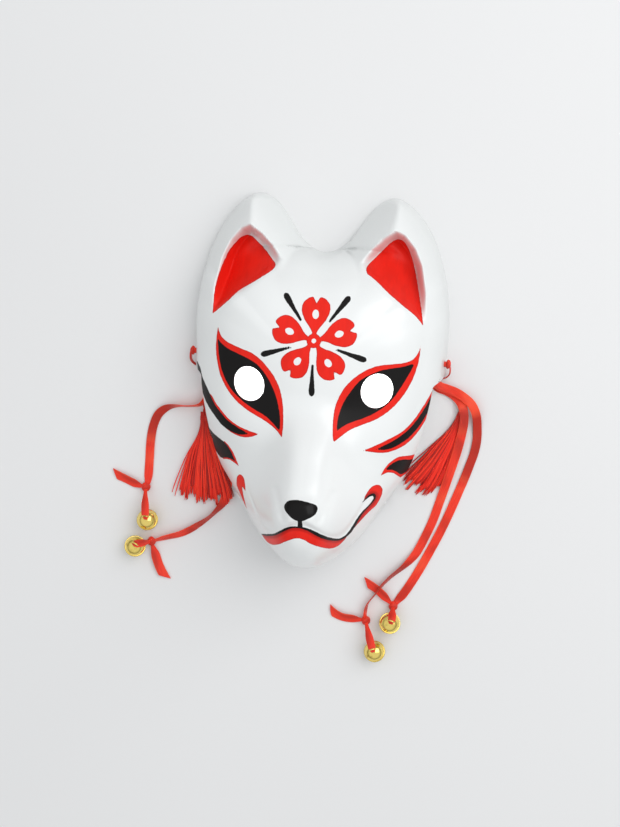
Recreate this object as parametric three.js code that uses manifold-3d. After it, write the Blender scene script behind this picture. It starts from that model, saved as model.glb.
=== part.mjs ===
import * as THREE from 'three';
import { ParametricGeometry } from 'three/addons/geometries/ParametricGeometry.js';
import { mergeVertices } from 'three/addons/utils/BufferGeometryUtils.js';
import Module from 'manifold-3d';

const wasm = await Module();
wasm.setup();

// A fox mask that lies face up on its rim, in millimetres. The rim is on z = 0, the ears point to +Y,
// the face looks to +Z, and the origin is below the middle of the mask.

// Shell
const MASK_WIDTH = 170;
const MASK_LENGTH = 248;
const FOREHEAD_HEIGHT = 62;
const NOSE_HEIGHT = 101;
const WALL = 2.2;
const RIM_ROUNDING = 4;
const EAR_RECESS_DEPTH = 27;
const EAR_RECESS_DRAFT = 6.5;
const EAR_EDGE_HEIGHT = 10;
const EAR_SLOPE = 1.75;
const MOUTH_GROOVE = 1.6;
const CHEEK_SCALLOP = 0.095;

// Openings in the shell
const EYE_SPACING = 82.4;
const EYE_OPENING_WIDTH = 20;
const EYE_OPENING_LENGTH = 22.6;
const EYE_TURN = 0.35;
const EYE_Y = 0.8;
const STRAP_HOLE = 5;
const STRAP_HOLE_Y = 16.5;
const STRAP_HOLE_HEIGHT = 10;

// Ribbons, knots, tassels and bells
const GAP = 0.3;
const RIBBON_WIDTH = 6;
const RIBBON_THICKNESS = 1.1;
const KNOT_DEPTH = 3.4;
const KNOT_WIDTH = 6;
const KNOT_HEIGHT = 5;
const TASSEL_LENGTH = 66;
const TASSEL_HEIGHT = 5;
const TASSEL_NECK_WIDTH = 6.4;
const TASSEL_NECK_HEIGHT = 3.6;
const BINDING = 0.12;
const BINDING_LENGTH = 0.05;
const BELL_DIAMETER = 15;
const BELL_WALL = 0.6;
const BELL_SEAM = 0.5;
const BELL_SEAM_HEIGHT = 1.4;
const BELL_SLIT = 1.8;
const BELL_SLIT_LENGTH = 11;
const BELL_LOOP = 5;
const BELL_LOOP_WIRE = 1.1;
const BELL_TILT = 0.44;

// Facets
const RAYS = 80;
const FACE_RINGS = 20;
const BACK_RINGS = 8;
const ROUND_SIDES = 10;
const BALL_SIDES = 8;
const BALL_RINGS = 5;
const RECESS_SIDES = 30;
const RECESS_RINGS = 2;
const RIBBON_SIDES = 8;
const RIBBON_STEP = 2 * RIBBON_WIDTH;

const HALF_WIDTH = MASK_WIDTH / 2;
const HALF_LENGTH = MASK_LENGTH / 2;
const RIGHT_ANGLE = Math.PI / 2;
const DEGREE = Math.PI / 180;

// Outlines of the right half of the mask, from the notch between the ears round to the chin, as
// shares of the half width and half length. They share the cheek and the jaw: OUTLINE runs round
// the ear, BROW is the head without ears, and CROWN is a fuller head that the ear is cut from.
const MIDDLE = 0.085;
const JAW = [[1, 0.17], [0.985, -0.05], [0.845, -0.38], [0.6, -0.64], [0.32, -0.895], [0, -1]];
const EAR = [
  [0, 0.698], [0.185, 0.765], [0.4, 0.96], [0.525, 1], [0.64, 0.968], [0.8, 0.85], [0.955, 0.59],
];
const OUTLINE = polarSpline([...EAR, ...JAW]);
const BROW = polarSpline([[0, 0.71], [0.4, 0.715], [0.77, 0.66], [0.96, 0.44], ...JAW]);
const CROWN = polarSpline([[0, 1.16], [0.37, 1.12], [0.7, 0.98], [0.9, 0.74], [0.985, 0.45], ...JAW]);

// The ear's edges as lines between two points, and the corners of the recess inside it
const EAR_INNER_EDGE = [[0.165, 0.734], [0.47, 0.992]];
const EAR_TOP_EDGE = [[0.706, 0.946], [0.882, 0.742]];
const EAR_SIDE_EDGE = [[0.941, 0.73], [1, 0.445]];
const RECESS_FOOT = [[0.835, 0.347], [0.33, 0.605]];
const RECESS_CORNERS = [
  [0.559, 0.806], [0.612, 0.79], [0.688, 0.73], [0.744, 0.645], [0.78, 0.5],
  [0.788, 0.383], [0.576, 0.48], [0.365, 0.601], [0.32, 0.649], [0.471, 0.769],
];
const RECESS_ROUNDING = 3;
const RECESS_MIDDLE = [0.6, 0.63];

function smoothStep(from, to, x) {
  const t = Math.min(Math.max((x - from) / (to - from), 0), 1);
  return t * t * (3 - 2 * t);
}

// Distance from the middle to an outline, by angle from +Y: a cubic spline in polar form
function polarSpline(points) {
  const angles = points.map(([u, v]) => Math.atan2(u, v - MIDDLE));
  const radii = points.map(([u, v]) => Math.hypot(u, v - MIDDLE));
  angles.unshift(-angles[1]);
  radii.unshift(radii[1]);
  angles.push(2 * Math.PI - angles[angles.length - 2]);
  radii.push(radii[radii.length - 2]);
  const slopeAt = (i) => (radii[i + 1] - radii[i - 1]) / (angles[i + 1] - angles[i - 1]);
  return (angle) => {
    let i = 1;
    while (i < angles.length - 3 && angle >= angles[i + 1]) i += 1;
    const span = angles[i + 1] - angles[i];
    const t = (angle - angles[i]) / span;
    return (2 * t ** 3 - 3 * t ** 2 + 1) * radii[i] + (t ** 3 - 2 * t ** 2 + t) * span * slopeAt(i)
      + (3 * t ** 2 - 2 * t ** 3) * radii[i + 1] + (t ** 3 - t ** 2) * span * slopeAt(i + 1);
  };
}

// The lesser of two heights, with the crease between them rounded over a height k
function roundedMin(a, b, k) {
  const h = Math.min(Math.max(0.5 + (0.5 * (b - a)) / k, 0), 1);
  return b * (1 - h) + a * h - k * h * (1 - h);
}

// Distance in mm from a point to the line through two others, positive on its right
function lineDistance(u, v, [[au, av], [bu, bv]]) {
  const ex = (bu - au) * HALF_WIDTH;
  const ey = (bv - av) * HALF_LENGTH;
  return ((u - au) * HALF_WIDTH * ey - (v - av) * HALF_LENGTH * ex) / Math.hypot(ex, ey);
}

// Distance in mm from a point to the recess's rounded outline, negative inside
function recessDistance(u, v) {
  let distance = Infinity;
  let inside = false;
  const x = u * HALF_WIDTH;
  const y = v * HALF_LENGTH;
  RECESS_CORNERS.forEach(([au, av], i) => {
    const [bu, bv] = RECESS_CORNERS[(i + 1) % RECESS_CORNERS.length];
    const [ax, ay, bx, by] = [au * HALF_WIDTH, av * HALF_LENGTH, bu * HALF_WIDTH, bv * HALF_LENGTH];
    const along = ((x - ax) * (bx - ax) + (y - ay) * (by - ay)) / ((bx - ax) ** 2 + (by - ay) ** 2);
    const t = Math.min(Math.max(along, 0), 1);
    distance = Math.min(distance, Math.hypot(x - ax - t * (bx - ax), y - ay - t * (by - ay)));
    if (ay > y !== by > y && x < ((bx - ax) * (y - ay)) / (by - ay) + ax) inside = !inside;
  });
  return (inside ? -distance : distance) - RECESS_ROUNDING;
}

// Height share of a head that rolls over to its outline: blunt at the chin, rounder elsewhere
function dome(u, v, outline) {
  const share = Math.hypot(u, v - MIDDLE) / outline(Math.atan2(u, v - MIDDLE));
  const bluntness = 2.4 + 4.5 * smoothStep(-0.32, -0.85, v);
  return Math.sqrt(Math.max(1 - Math.min(share, 1) ** bluntness, 0));
}

// A bump that is 1 at its middle and falls off over a width and a length, all shares
function bump(u, v, mu, mv, width, length) {
  return Math.exp(-(((u - mu) / width) ** 2) - ((v - mv) / length) ** 2);
}

// Height of the head over the rim without the ears. The soft version leaves out what the inside
// of the shell doesn't follow.
function faceRelief(u, v, soft) {
  const muzzleWidth = 0.218 + 0.07 * smoothStep(-0.137, -0.605, v);
  const bridge = smoothStep(-0.016, -0.613, v) / (1 + (u / muzzleWidth) ** 3.2);
  const browDip = 3.5 * bump(0, v, 0, -0.105, 1, 0.145) / (1 + (u / 0.4) ** 4);
  const whiskerPad = 6 * bump(u, v, 0.218, -0.645, 0.1, 0.097);
  const noseTip = soft ? 0 : 3 * Math.exp(-((u / 0.124) ** 4) - ((v + 0.589) / 0.0685) ** 4);
  const eyeSocket = 3.5 * bump(u, v, 0.47, 0, 0.235, 0.161);
  return FOREHEAD_HEIGHT + (NOSE_HEIGHT - FOREHEAD_HEIGHT) * bridge
    - browDip + whiskerPad + noseTip - eyeSocket;
}

// Depth of the groove between the lips
function mouthDepth(u, v) {
  const line = -0.645 - 0.097 * smoothStep(0, 0.282, u) + 0.258 * smoothStep(0.259, 0.565, u);
  return MOUTH_GROOVE * bump(0, v, 0, line, 1, 0.0194) * (1 - smoothStep(0.353, 0.518, u));
}

// Heights of the head with its ears, before their recesses, and of the recess's floor
function earHeights(u, v, soft) {
  const face = faceRelief(u, v, soft);
  const head = face * dome(u, v, BROW);
  const fullHead = face * dome(u, v, CROWN);
  const overFoot = lineDistance(u, v, RECESS_FOOT);
  const earTop = head + (fullHead - head) * smoothStep(-8, 26, overFoot);
  const outerEdge = roundedMin(lineDistance(u, v, EAR_TOP_EDGE), lineDistance(u, v, EAR_SIDE_EDGE), 8);
  const crest = roundedMin(lineDistance(u, v, EAR_INNER_EDGE), outerEdge, soft ? 9 : 2);
  const earRoof = roundedMin(earTop, EAR_EDGE_HEIGHT + EAR_SLOPE * crest, soft ? 10 : 6);
  const rise = Math.max(earRoof - head, 0);
  const roof = head + rise ** 2 / (rise + 3);
  const floor = Math.min(roof, earTop - EAR_RECESS_DEPTH * smoothStep(-6, 22, overFoot));
  return { roof, floor };
}

// Height of the face over the rim, before the recesses are cut into the ears
function faceHeight(signedU, v, soft) {
  const u = Math.abs(signedU);
  const height = earHeights(u, v, soft).roof - (soft ? 0 : mouthDepth(u, v));
  const radius = Math.hypot(u, v - MIDDLE);
  const inset = (OUTLINE(Math.atan2(u, v - MIDDLE)) - radius) * HALF_WIDTH;
  const roll = Math.min(Math.max(inset / (soft ? 2.2 * RIM_ROUNDING : RIM_ROUNDING), 0), 1);
  return height * Math.sqrt(1 - (1 - roll) ** 2);
}

// How far out the shell runs along a ray: short of the outline beside the cheeks, where its edge
// is scalloped, from just below the strap hole to the jaw
function shellReach(angle) {
  const side = Math.abs(angle) / DEGREE;
  const scallop = smoothStep(90.5, 94.5, side) * (1 - smoothStep(100, 150, side));
  return OUTLINE(side * DEGREE) * (1 - CHEEK_SCALLOP * scallop);
}

// The point of the face on a ray, at a share of the way out to the shell's edge
function facePoint(angle, share, soft, target) {
  const radius = shellReach(angle) * Math.sin(share * RIGHT_ANGLE);
  const u = radius * Math.sin(angle);
  const v = MIDDLE + radius * Math.cos(angle);
  return target.set(u * HALF_WIDTH, v * HALF_LENGTH, faceHeight(u, v, soft));
}

// The point under it, one wall further in along the soft face's normal
function backPoint(angle, share, target) {
  const delta = 0.004;
  const near = Math.max(Math.min(share, 1 - delta), 6 * delta);
  facePoint(angle, share, true, target);
  const outwards = facePoint(angle, near + delta, true, new THREE.Vector3())
    .sub(facePoint(angle, near - delta, true, new THREE.Vector3()));
  const around = facePoint(angle + delta, near, true, new THREE.Vector3())
    .sub(facePoint(angle - delta, near, true, new THREE.Vector3()));
  const normal = new THREE.Vector3().crossVectors(around, outwards).normalize();
  const onRim = share === 1 && target.z < WALL;
  if (share === 0) normal.set(0, 0, 1);
  if (onRim) normal.setZ(0).normalize();
  target.addScaledVector(normal, -WALL);
  if (onRim) target.z = 0;
  return target;
}

// Angles of the rays from the middle, closer together at the ears and at the start of the scallop
function rayAngles() {
  const density = (angle) => {
    const side = Math.abs(angle) / DEGREE;
    const atEar = smoothStep(8, 18, side) * (1 - smoothStep(52, 62, side));
    const atScallop = smoothStep(84, 89, side) * (1 - smoothStep(96, 101, side));
    return 1 + 1.3 * atEar + 1.6 * atScallop;
  };
  const samples = 3600;
  const sums = [0];
  for (let i = 0; i < samples; i += 1) {
    sums.push(sums[i] + density(-Math.PI + ((i + 0.5) * 2 * Math.PI) / samples));
  }
  return (turn) => {
    const wanted = turn * sums[samples];
    let i = 0;
    while (i < samples - 1 && sums[i + 1] < wanted) i += 1;
    return -Math.PI + ((i + (wanted - sums[i]) / (sums[i + 1] - sums[i])) * 2 * Math.PI) / samples;
  };
}

// A solid from a closed geometry: its vertices are merged and its empty triangles left out
function toSolid(geometry) {
  const bare = geometry.clone();
  bare.deleteAttribute('normal');
  bare.deleteAttribute('uv');
  const merged = mergeVertices(bare, 1e-4);
  const corners = merged.index.array;
  const kept = [];
  for (let i = 0; i < corners.length; i += 3) {
    const [a, b, c] = [corners[i], corners[i + 1], corners[i + 2]];
    if (a !== b && b !== c && c !== a) kept.push(a, b, c);
  }
  return new wasm.Manifold(new wasm.Mesh({
    numProp: 3,
    vertProperties: new Float32Array(merged.attributes.position.array),
    triVerts: new Uint32Array(kept),
  }));
}

function toGeometry(solid) {
  const mesh = solid.getMesh();
  const geometry = new THREE.BufferGeometry();
  geometry.setAttribute('position', new THREE.BufferAttribute(mesh.vertProperties, 3));
  geometry.setIndex(new THREE.BufferAttribute(mesh.triVerts, 1));
  geometry.computeVertexNormals();
  return geometry;
}

function union(geometries) {
  return toGeometry(geometries.map(toSolid).reduce((whole, next) => whole.add(next)));
}

function cylinder(diameter, length, sides) {
  return new THREE.CylinderGeometry(diameter / 2, diameter / 2, length, sides);
}

// How far the recess's outline, moved outwards by some mm, lies from its middle at an angle
function recessReach(angle, outwards) {
  const [mu, mv] = RECESS_MIDDLE;
  let inside = 0;
  let outside = HALF_WIDTH;
  for (let i = 0; i < 20; i += 1) {
    const reach = (inside + outside) / 2;
    const u = mu + (reach * Math.sin(angle)) / HALF_WIDTH;
    const v = mv + (reach * Math.cos(angle)) / HALF_LENGTH;
    if (recessDistance(u, v) < outwards) inside = reach;
    else outside = reach;
  }
  return inside;
}

// The space of an ear's recess, or with a wall, that space and the wall around it: a floor, a side
// that leans out to the ear's surface, and an open top
function recessSolid(side, wall) {
  const [mu, mv] = RECESS_MIDDLE;
  const rings = RECESS_RINGS + 3;
  const surface = new ParametricGeometry((turn, along, target) => {
    const ring = Math.round(along * rings);
    const angle = -side * turn * 2 * Math.PI;
    const onFloor = ring <= RECESS_RINGS;
    const share = onFloor ? ring / RECESS_RINGS : Number(ring < rings);
    const reach = share * recessReach(angle, wall - (onFloor ? EAR_RECESS_DRAFT : 0));
    const u = mu + (reach * Math.sin(angle)) / HALF_WIDTH;
    const v = mv + (reach * Math.cos(angle)) / HALF_LENGTH;
    const { roof, floor } = earHeights(Math.abs(u), v, false);
    const overFoot = GAP * (1 - smoothStep(0, 2, roof - floor));
    let height = NOSE_HEIGHT + ring;
    if (onFloor) height = floor + overFoot - wall;
    if (ring === RECESS_RINGS + 1) height = roof;
    target.set(side * u * HALF_WIDTH, v * HALF_LENGTH, height);
  }, RECESS_SIDES, rings);
  return toSolid(surface);
}

function shellGeometry() {
  const angleAt = rayAngles();
  const rings = FACE_RINGS + BACK_RINGS + 1;
  const closedSurface = (lastRing) => toSolid(new ParametricGeometry((turn, along, target) => {
    const angle = angleAt(turn === 1 ? 0 : turn);
    const ring = Math.round(along * lastRing);
    if (ring <= FACE_RINGS) facePoint(angle, ring / FACE_RINGS, false, target);
    else if (lastRing === rings) backPoint(angle, (rings - ring) / BACK_RINGS, target);
    else target.set(0, MIDDLE * HALF_LENGTH, 0);
  }, RAYS, lastRing));
  const underFace = closedSurface(FACE_RINGS + 1);
  let solid = closedSurface(rings);
  for (const side of [-1, 1]) {
    const eye = cylinder(1, NOSE_HEIGHT, 2 * ROUND_SIDES)
      .rotateX(RIGHT_ANGLE)
      .scale(EYE_OPENING_WIDTH, EYE_OPENING_LENGTH, 1)
      .rotateZ(-side * EYE_TURN)
      .translate((side * EYE_SPACING) / 2, EYE_Y, NOSE_HEIGHT / 2 + WALL);
    const strapHole = cylinder(STRAP_HOLE, HALF_WIDTH / 2, ROUND_SIDES)
      .rotateZ(RIGHT_ANGLE)
      .translate(side * HALF_WIDTH, STRAP_HOLE_Y, STRAP_HOLE_HEIGHT);
    solid = solid.add(recessSolid(side, WALL).intersect(underFace))
      .subtract(recessSolid(side, 0))
      .subtract(toSolid(eye))
      .subtract(toSolid(strapHole));
  }
  return toGeometry(solid);
}

// Half width of the shell's outside at a height over the rim, found by halving
function wallFace(y, height) {
  let inside = 0.8;
  let outside = 1.1;
  for (let i = 0; i < 24; i += 1) {
    const middle = (inside + outside) / 2;
    if (faceHeight(middle, y / HALF_LENGTH, false) > height) inside = middle;
    else outside = middle;
  }
  return inside * HALF_WIDTH;
}

// Knot of the doubled ribbon in a strap hole: a turn outside, the neck through the hole, a turn inside
function strapKnotGeometry(side) {
  const turn = (x) => new THREE.SphereGeometry(0.5, BALL_SIDES, BALL_RINGS)
    .scale(KNOT_DEPTH, KNOT_WIDTH, KNOT_HEIGHT)
    .translate(side * x, STRAP_HOLE_Y, STRAP_HOLE_HEIGHT);
  const outer = wallFace(STRAP_HOLE_Y, STRAP_HOLE_HEIGHT - KNOT_HEIGHT / 2) + GAP + KNOT_DEPTH / 2;
  const inner = wallFace(STRAP_HOLE_Y, STRAP_HOLE_HEIGHT + KNOT_HEIGHT / 2) - WALL - GAP - KNOT_DEPTH / 2;
  const neck = cylinder(STRAP_HOLE - 4 * GAP, outer - inner, BALL_SIDES)
    .rotateZ(RIGHT_ANGLE)
    .translate((side * (outer + inner)) / 2, STRAP_HOLE_Y, STRAP_HOLE_HEIGHT);
  return union([neck, turn(outer), turn(inner)]);
}

// A smooth curve whose frames keep their normals upright, so that a ribbon along it lies flat
class FlatRoute extends THREE.CatmullRomCurve3 {
  computeFrenetFrames(segments) {
    const upright = new THREE.Vector3(0, 0, 1);
    const frames = { tangents: [], normals: [], binormals: [] };
    for (let i = 0; i <= segments; i += 1) {
      const tangent = this.getTangentAt(i / segments);
      const binormal = new THREE.Vector3().crossVectors(tangent, upright).normalize();
      frames.tangents.push(tangent);
      frames.binormals.push(binormal);
      frames.normals.push(new THREE.Vector3().crossVectors(binormal, tangent));
    }
    return frames;
  }
}

// A flat ribbon along its route: an oval section of eight sides, carried along a smooth curve
function ribbonGeometry(points, width = RIBBON_WIDTH) {
  const corners = points.map((point) => new THREE.Vector3(...point));
  const route = new FlatRoute(corners, false, 'centripetal');
  const widest = Math.cos(Math.PI / RIBBON_SIDES);
  const section = new THREE.Shape();
  for (let i = 0; i < RIBBON_SIDES; i += 1) {
    const angle = ((i + 0.5) * 2 * Math.PI) / RIBBON_SIDES;
    const across = (Math.sin(angle) / widest) * (width / 2);
    const up = (Math.cos(angle) / widest) * (RIBBON_THICKNESS / 2);
    if (i === 0) section.moveTo(up, across);
    else section.lineTo(up, across);
  }
  section.closePath();
  const steps = Math.ceil(route.getLength() / RIBBON_STEP);
  return new THREE.ExtrudeGeometry(section, { steps, extrudePath: route, bevelEnabled: false });
}

// Routes of the four ribbons, from inside their strap hole out under the mask's edge to their bell
const LYING = 0.75;
const RIBBON_ROUTES = {
  left_upper: [
    [-73.4, 17.4, 11], [-73.8, 12, 7.6], [-74.6, 5.5, 3.6], [-75.2, -2, 1.3], [-75.4, -9.5, LYING],
    [-76.4, -16.5, LYING], [-80.6, -21.2, LYING], [-87.4, -22.3, LYING], [-96.9, -22.9, LYING],
    [-104, -24.8, LYING], [-109.4, -29.4, LYING], [-112.7, -37.3, LYING], [-114.2, -46.5, LYING],
    [-114.8, -62.1, LYING], [-115.3, -76.2, LYING],
  ],
  left_lower: [
    [-73.6, 14.6, 6.4], [-71.5, 10, 3.6], [-68.6, 5, 1.3], [-66.6, -3, LYING], [-66, -14, LYING],
    [-65.8, -27, LYING], [-65.2, -40, LYING], [-63.4, -53, LYING], [-60.8, -65, LYING],
    [-59.8, -77, LYING], [-62.2, -88, LYING], [-67.7, -95.2, LYING], [-74.8, -101.6, LYING],
    [-82.8, -107.6, LYING], [-91, -111.8, LYING], [-99.6, -114.8, LYING], [-106.6, -117, LYING],
  ],
  right_front: [
    [73.4, 15, 6.4], [74, 9.4, 3.2], [76, 3.6, 1.3], [80.2, -0.4, LYING], [85.6, -2.2, LYING],
    [90.6, -4.6, 1.6], [95.2, -8.6, 3.4], [97.8, -13.8, 5.1], [98.8, -20.4, 5.4], [98, -29, 5.2],
    [96.2, -39.1, 4.8], [93.6, -49.5, 4.2], [90.6, -60.7, 3.4], [86, -77.5, 1.1], [81.6, -92.5, LYING],
    [75.2, -108.2, LYING], [71, -116.2, LYING], [65.8, -122.6, LYING], [57, -130.6, LYING],
    [50.2, -138.5, LYING], [45.2, -145.6, LYING], [40.9, -152, LYING], [39.6, -159.4, LYING],
  ],
  right_rear: [
    [73.4, 17, 11], [74, 11, 7], [76.4, 5.2, 4.2], [81, 1, 2.8], [86.6, -0.8, 2.6], [92.4, -2.6, 3.6],
    [98, -5.6, 5.4], [103.2, -10, 6.2], [106.6, -17, 4.4], [107.9, -25, 1.9], [108.2, -34.2, LYING],
    [107, -43, LYING], [104.6, -51.5, LYING], [101, -62.6, LYING], [95.4, -78.4, LYING],
    [90.2, -92.4, LYING], [83.2, -108.6, LYING], [77.2, -121.4, LYING], [71.2, -133.2, LYING],
    [65.2, -143.4, LYING], [61.2, -148.8, LYING],
  ],
};

// Where each ribbon is knotted, the tip of its short tail, the middle of its bell and the bell's lean
const ENDS = {
  left_upper: {
    knot: [-116.2, -80.6],
    tail: [[-122.5, -79.2, 1.8], [-132.2, -75.5, 1.4], [-141, -72.1, 0.9]],
    bell: [-113.6, -102.5],
    lean: 1.52,
  },
  left_lower: {
    knot: [-111.2, -118.4],
    tail: [[-108.8, -126, 1.8], [-105, -136.4, 1.4], [-99.6, -146, 0.9]],
    bell: [-121.6, -121.6],
    lean: 1.05,
  },
  right_front: {
    knot: [40.2, -163.9],
    tail: [[33.6, -163.6, 1.8], [23, -162.8, 1.4], [13.2, -157, 0.9]],
    bell: [47.5, -184.1],
    lean: 1.9,
  },
  right_rear: {
    knot: [58.4, -152.3],
    tail: [[52.6, -146.6, 2.8], [45.4, -140.8, 2.9], [36.6, -136.4, 2]],
    bell: [56.8, -163.4],
    lean: 1.25,
  },
};

// The knot over a bell, with the ribbon's cut tail and the short neck that runs to the bell's loop
function tieGeometry({ knot, tail, bell }) {
  const [kx, ky] = knot;
  const height = KNOT_HEIGHT / 2 + GAP;
  const ball = new THREE.SphereGeometry(0.5, BALL_SIDES, BALL_RINGS)
    .scale(KNOT_WIDTH, KNOT_WIDTH, KNOT_HEIGHT)
    .translate(kx, ky, height);
  const flap = ribbonGeometry([[kx, ky, height], ...tail]);
  const towards = new THREE.Vector2(bell[0] - kx, bell[1] - ky);
  const reach = towards.length() - BELL_DIAMETER / 2 - GAP;
  const end = towards.setLength(Math.max(reach, GAP));
  const neck = ribbonGeometry([
    [kx, ky, height], [kx + end.x / 2, ky + end.y / 2, height + 1], [kx + end.x, ky + end.y, height + 2],
  ], RIBBON_WIDTH * 0.6);
  return union([ball, flap, neck]);
}

// A round bell of thin sheet with a seam round its middle, a slit below and a wire loop on top
function bellGeometry() {
  const radius = BELL_DIAMETER / 2 - BELL_SEAM;
  const inner = radius - BELL_WALL;
  const arc = (r, from, to, count) => Array.from({ length: count + 1 }, (_, i) => {
    const angle = from + ((to - from) * i) / count;
    return new THREE.Vector2(Math.max(r * Math.cos(angle), 0), r * Math.sin(angle));
  });
  const seamAngle = Math.asin(BELL_SEAM_HEIGHT / 2 / radius);
  const outline = [
    ...arc(radius, -RIGHT_ANGLE, -seamAngle, 3),
    new THREE.Vector2(BELL_DIAMETER / 2, -BELL_SEAM_HEIGHT / 4),
    new THREE.Vector2(BELL_DIAMETER / 2, BELL_SEAM_HEIGHT / 4),
    ...arc(radius, seamAngle, RIGHT_ANGLE, 3),
  ];
  const ball = toSolid(new THREE.LatheGeometry(outline, ROUND_SIDES));
  const hollow = toSolid(new THREE.LatheGeometry(arc(inner, -RIGHT_ANGLE, RIGHT_ANGLE, 5), ROUND_SIDES));
  const slit = new THREE.BoxGeometry(BELL_SLIT_LENGTH, BELL_DIAMETER, BELL_SLIT)
    .translate(0, -BELL_DIAMETER / 2, 0);
  const loop = new THREE.TorusGeometry((BELL_LOOP - BELL_LOOP_WIRE) / 2, BELL_LOOP_WIRE / 2, 5, BALL_SIDES)
    .translate(0, radius + BELL_LOOP / 2 - BELL_LOOP_WIRE, 0);
  const bell = ball.subtract(hollow).subtract(toSolid(slit)).add(toSolid(loop));
  return toGeometry(bell).rotateX(RIGHT_ANGLE);
}

// A silk tassel laid on its side: a bound neck that spreads into a flat fan of threads.
// It is drawn along -Y from its neck and then turned and bent sideways as its threads fall.
function tasselGeometry(fan, bend) {
  const turns = 12;
  const rings = 10;
  const bulge = (t, middle) => BINDING * Math.exp(-(((t - middle) / BINDING_LENGTH) ** 2));
  return new ParametricGeometry((turn, along, target) => {
    const ring = Math.round(along * rings);
    const closing = ring === 0 || ring === rings;
    const t = Math.min(Math.max((ring - 1) / (rings - 2), 0), 1);
    const spread = smoothStep(3 * BINDING_LENGTH, 1, t);
    const neck = (1 + bulge(t, BINDING_LENGTH) - bulge(t, 3 * BINDING_LENGTH)) * (1 - spread);
    const halfWidth = (TASSEL_NECK_WIDTH * neck + fan * spread) / 2;
    const halfHeight = (TASSEL_NECK_HEIGHT * neck + TASSEL_HEIGHT * spread * (1 - t / 2)) / 2;
    const angle = turn * 2 * Math.PI;
    const across = closing ? 0 : halfWidth * Math.cos(angle);
    const up = closing ? 0 : halfHeight * Math.sin(angle);
    const roundEnd = 1 - t * (across / fan) ** 2 / 2;
    target.set(across + bend * t ** 2, -TASSEL_LENGTH * t * roundEnd, up + halfHeight);
  }, turns, rings);
}

const LACQUER = { color: 0xf4f6f5, roughness: 0.28, metalness: 0 };
const SATIN = { color: 0xe2231a, roughness: 0.45, metalness: 0 };
const SILK = { color: 0xd8201a, roughness: 0.6, metalness: 0 };
const BRASS = { color: 0xe2c25a, roughness: 0.22, metalness: 1 };

function piece(name, geometry, finish) {
  const mesh = new THREE.Mesh(geometry, new THREE.MeshStandardMaterial(finish));
  mesh.name = name;
  return mesh;
}

const mask = new THREE.Group();
mask.add(piece('mask_shell', shellGeometry(), LACQUER));
mask.add(piece('strap_knot_left', strapKnotGeometry(-1), SATIN));
mask.add(piece('strap_knot_right', strapKnotGeometry(1), SATIN));

for (const [name, route] of Object.entries(RIBBON_ROUTES)) {
  const end = ENDS[name];
  mask.add(piece(`ribbon_${name}`, ribbonGeometry(route), SATIN));
  mask.add(piece(`tie_${name}`, tieGeometry(end), SATIN));
  const bell = piece(`bell_${name}`, bellGeometry(), BRASS);
  bell.rotation.set(-BELL_TILT * Math.sin(end.lean), BELL_TILT * Math.cos(end.lean), 0);
  bell.position.set(end.bell[0], end.bell[1], BELL_DIAMETER / 2 - BELL_SEAM + GAP / 2);
  mask.add(bell);
}

// The left tassel lies over a ribbon, and the right one under a ribbon
const TASSELS = {
  left: { neck: [-77.4, -25.8, LYING + RIBBON_THICKNESS / 2 + GAP], turn: 0.02, fan: 40, bend: 2 },
  right: { neck: [97.8, -14.5, GAP], turn: -0.33, fan: 26, bend: -10 },
};
for (const [name, { neck, turn, fan, bend }] of Object.entries(TASSELS)) {
  const tassel = piece(`tassel_${name}`, tasselGeometry(fan, bend), SILK);
  tassel.rotation.z = turn;
  tassel.position.set(...neck);
  mask.add(tassel);
}

export default mask;
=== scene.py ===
import math

import bpy
import numpy as np
from mathutils import Matrix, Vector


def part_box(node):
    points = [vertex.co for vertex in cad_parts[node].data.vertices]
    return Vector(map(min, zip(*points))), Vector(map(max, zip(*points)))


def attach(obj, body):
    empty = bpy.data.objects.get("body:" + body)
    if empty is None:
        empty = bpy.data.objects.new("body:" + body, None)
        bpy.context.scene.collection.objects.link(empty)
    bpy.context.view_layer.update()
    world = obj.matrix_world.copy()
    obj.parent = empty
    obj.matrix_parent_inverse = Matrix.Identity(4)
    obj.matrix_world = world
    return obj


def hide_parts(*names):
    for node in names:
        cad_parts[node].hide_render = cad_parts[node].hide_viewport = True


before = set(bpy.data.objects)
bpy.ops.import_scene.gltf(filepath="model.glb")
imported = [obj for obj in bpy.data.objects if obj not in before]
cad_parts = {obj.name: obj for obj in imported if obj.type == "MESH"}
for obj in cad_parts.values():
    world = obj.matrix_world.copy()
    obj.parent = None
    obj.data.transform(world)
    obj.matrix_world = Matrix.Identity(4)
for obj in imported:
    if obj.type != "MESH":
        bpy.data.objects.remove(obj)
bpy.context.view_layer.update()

# A fox mask that lies face up on its rim: a painted shell, ribbons through its temples, thread
# tassels and round bells. Points of the shell and of its painted marks are worked out in
# millimetres, as in the part's source, and MM turns them into metres.

bl_info = {
    "name": "Fox mask",
    "version": (1, 0, 0),
    "blender": (4, 5, 0),
    "location": "View3D > Sidebar > Fox mask",
    "description": "Builds a painted fox mask with ribbons, tassels and bells over its CAD frame",
    "category": "Object",
}

MM = 0.001
BODY = "root"

# Form of the shell, in millimetres, or as shares of its half width and half length
HALF_WIDTH = 85.0
HALF_LENGTH = 124.0
FOREHEAD_HEIGHT = 62.0
NOSE_HEIGHT = 101.0
WALL = 2.2
RIM_ROUNDING = 4.0
EAR_RECESS_DEPTH = 27.0
EAR_RECESS_DRAFT = 6.5
EAR_EDGE_HEIGHT = 10.0
EAR_SLOPE = 1.75
CHEEK_SCALLOP = 0.095

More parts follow.
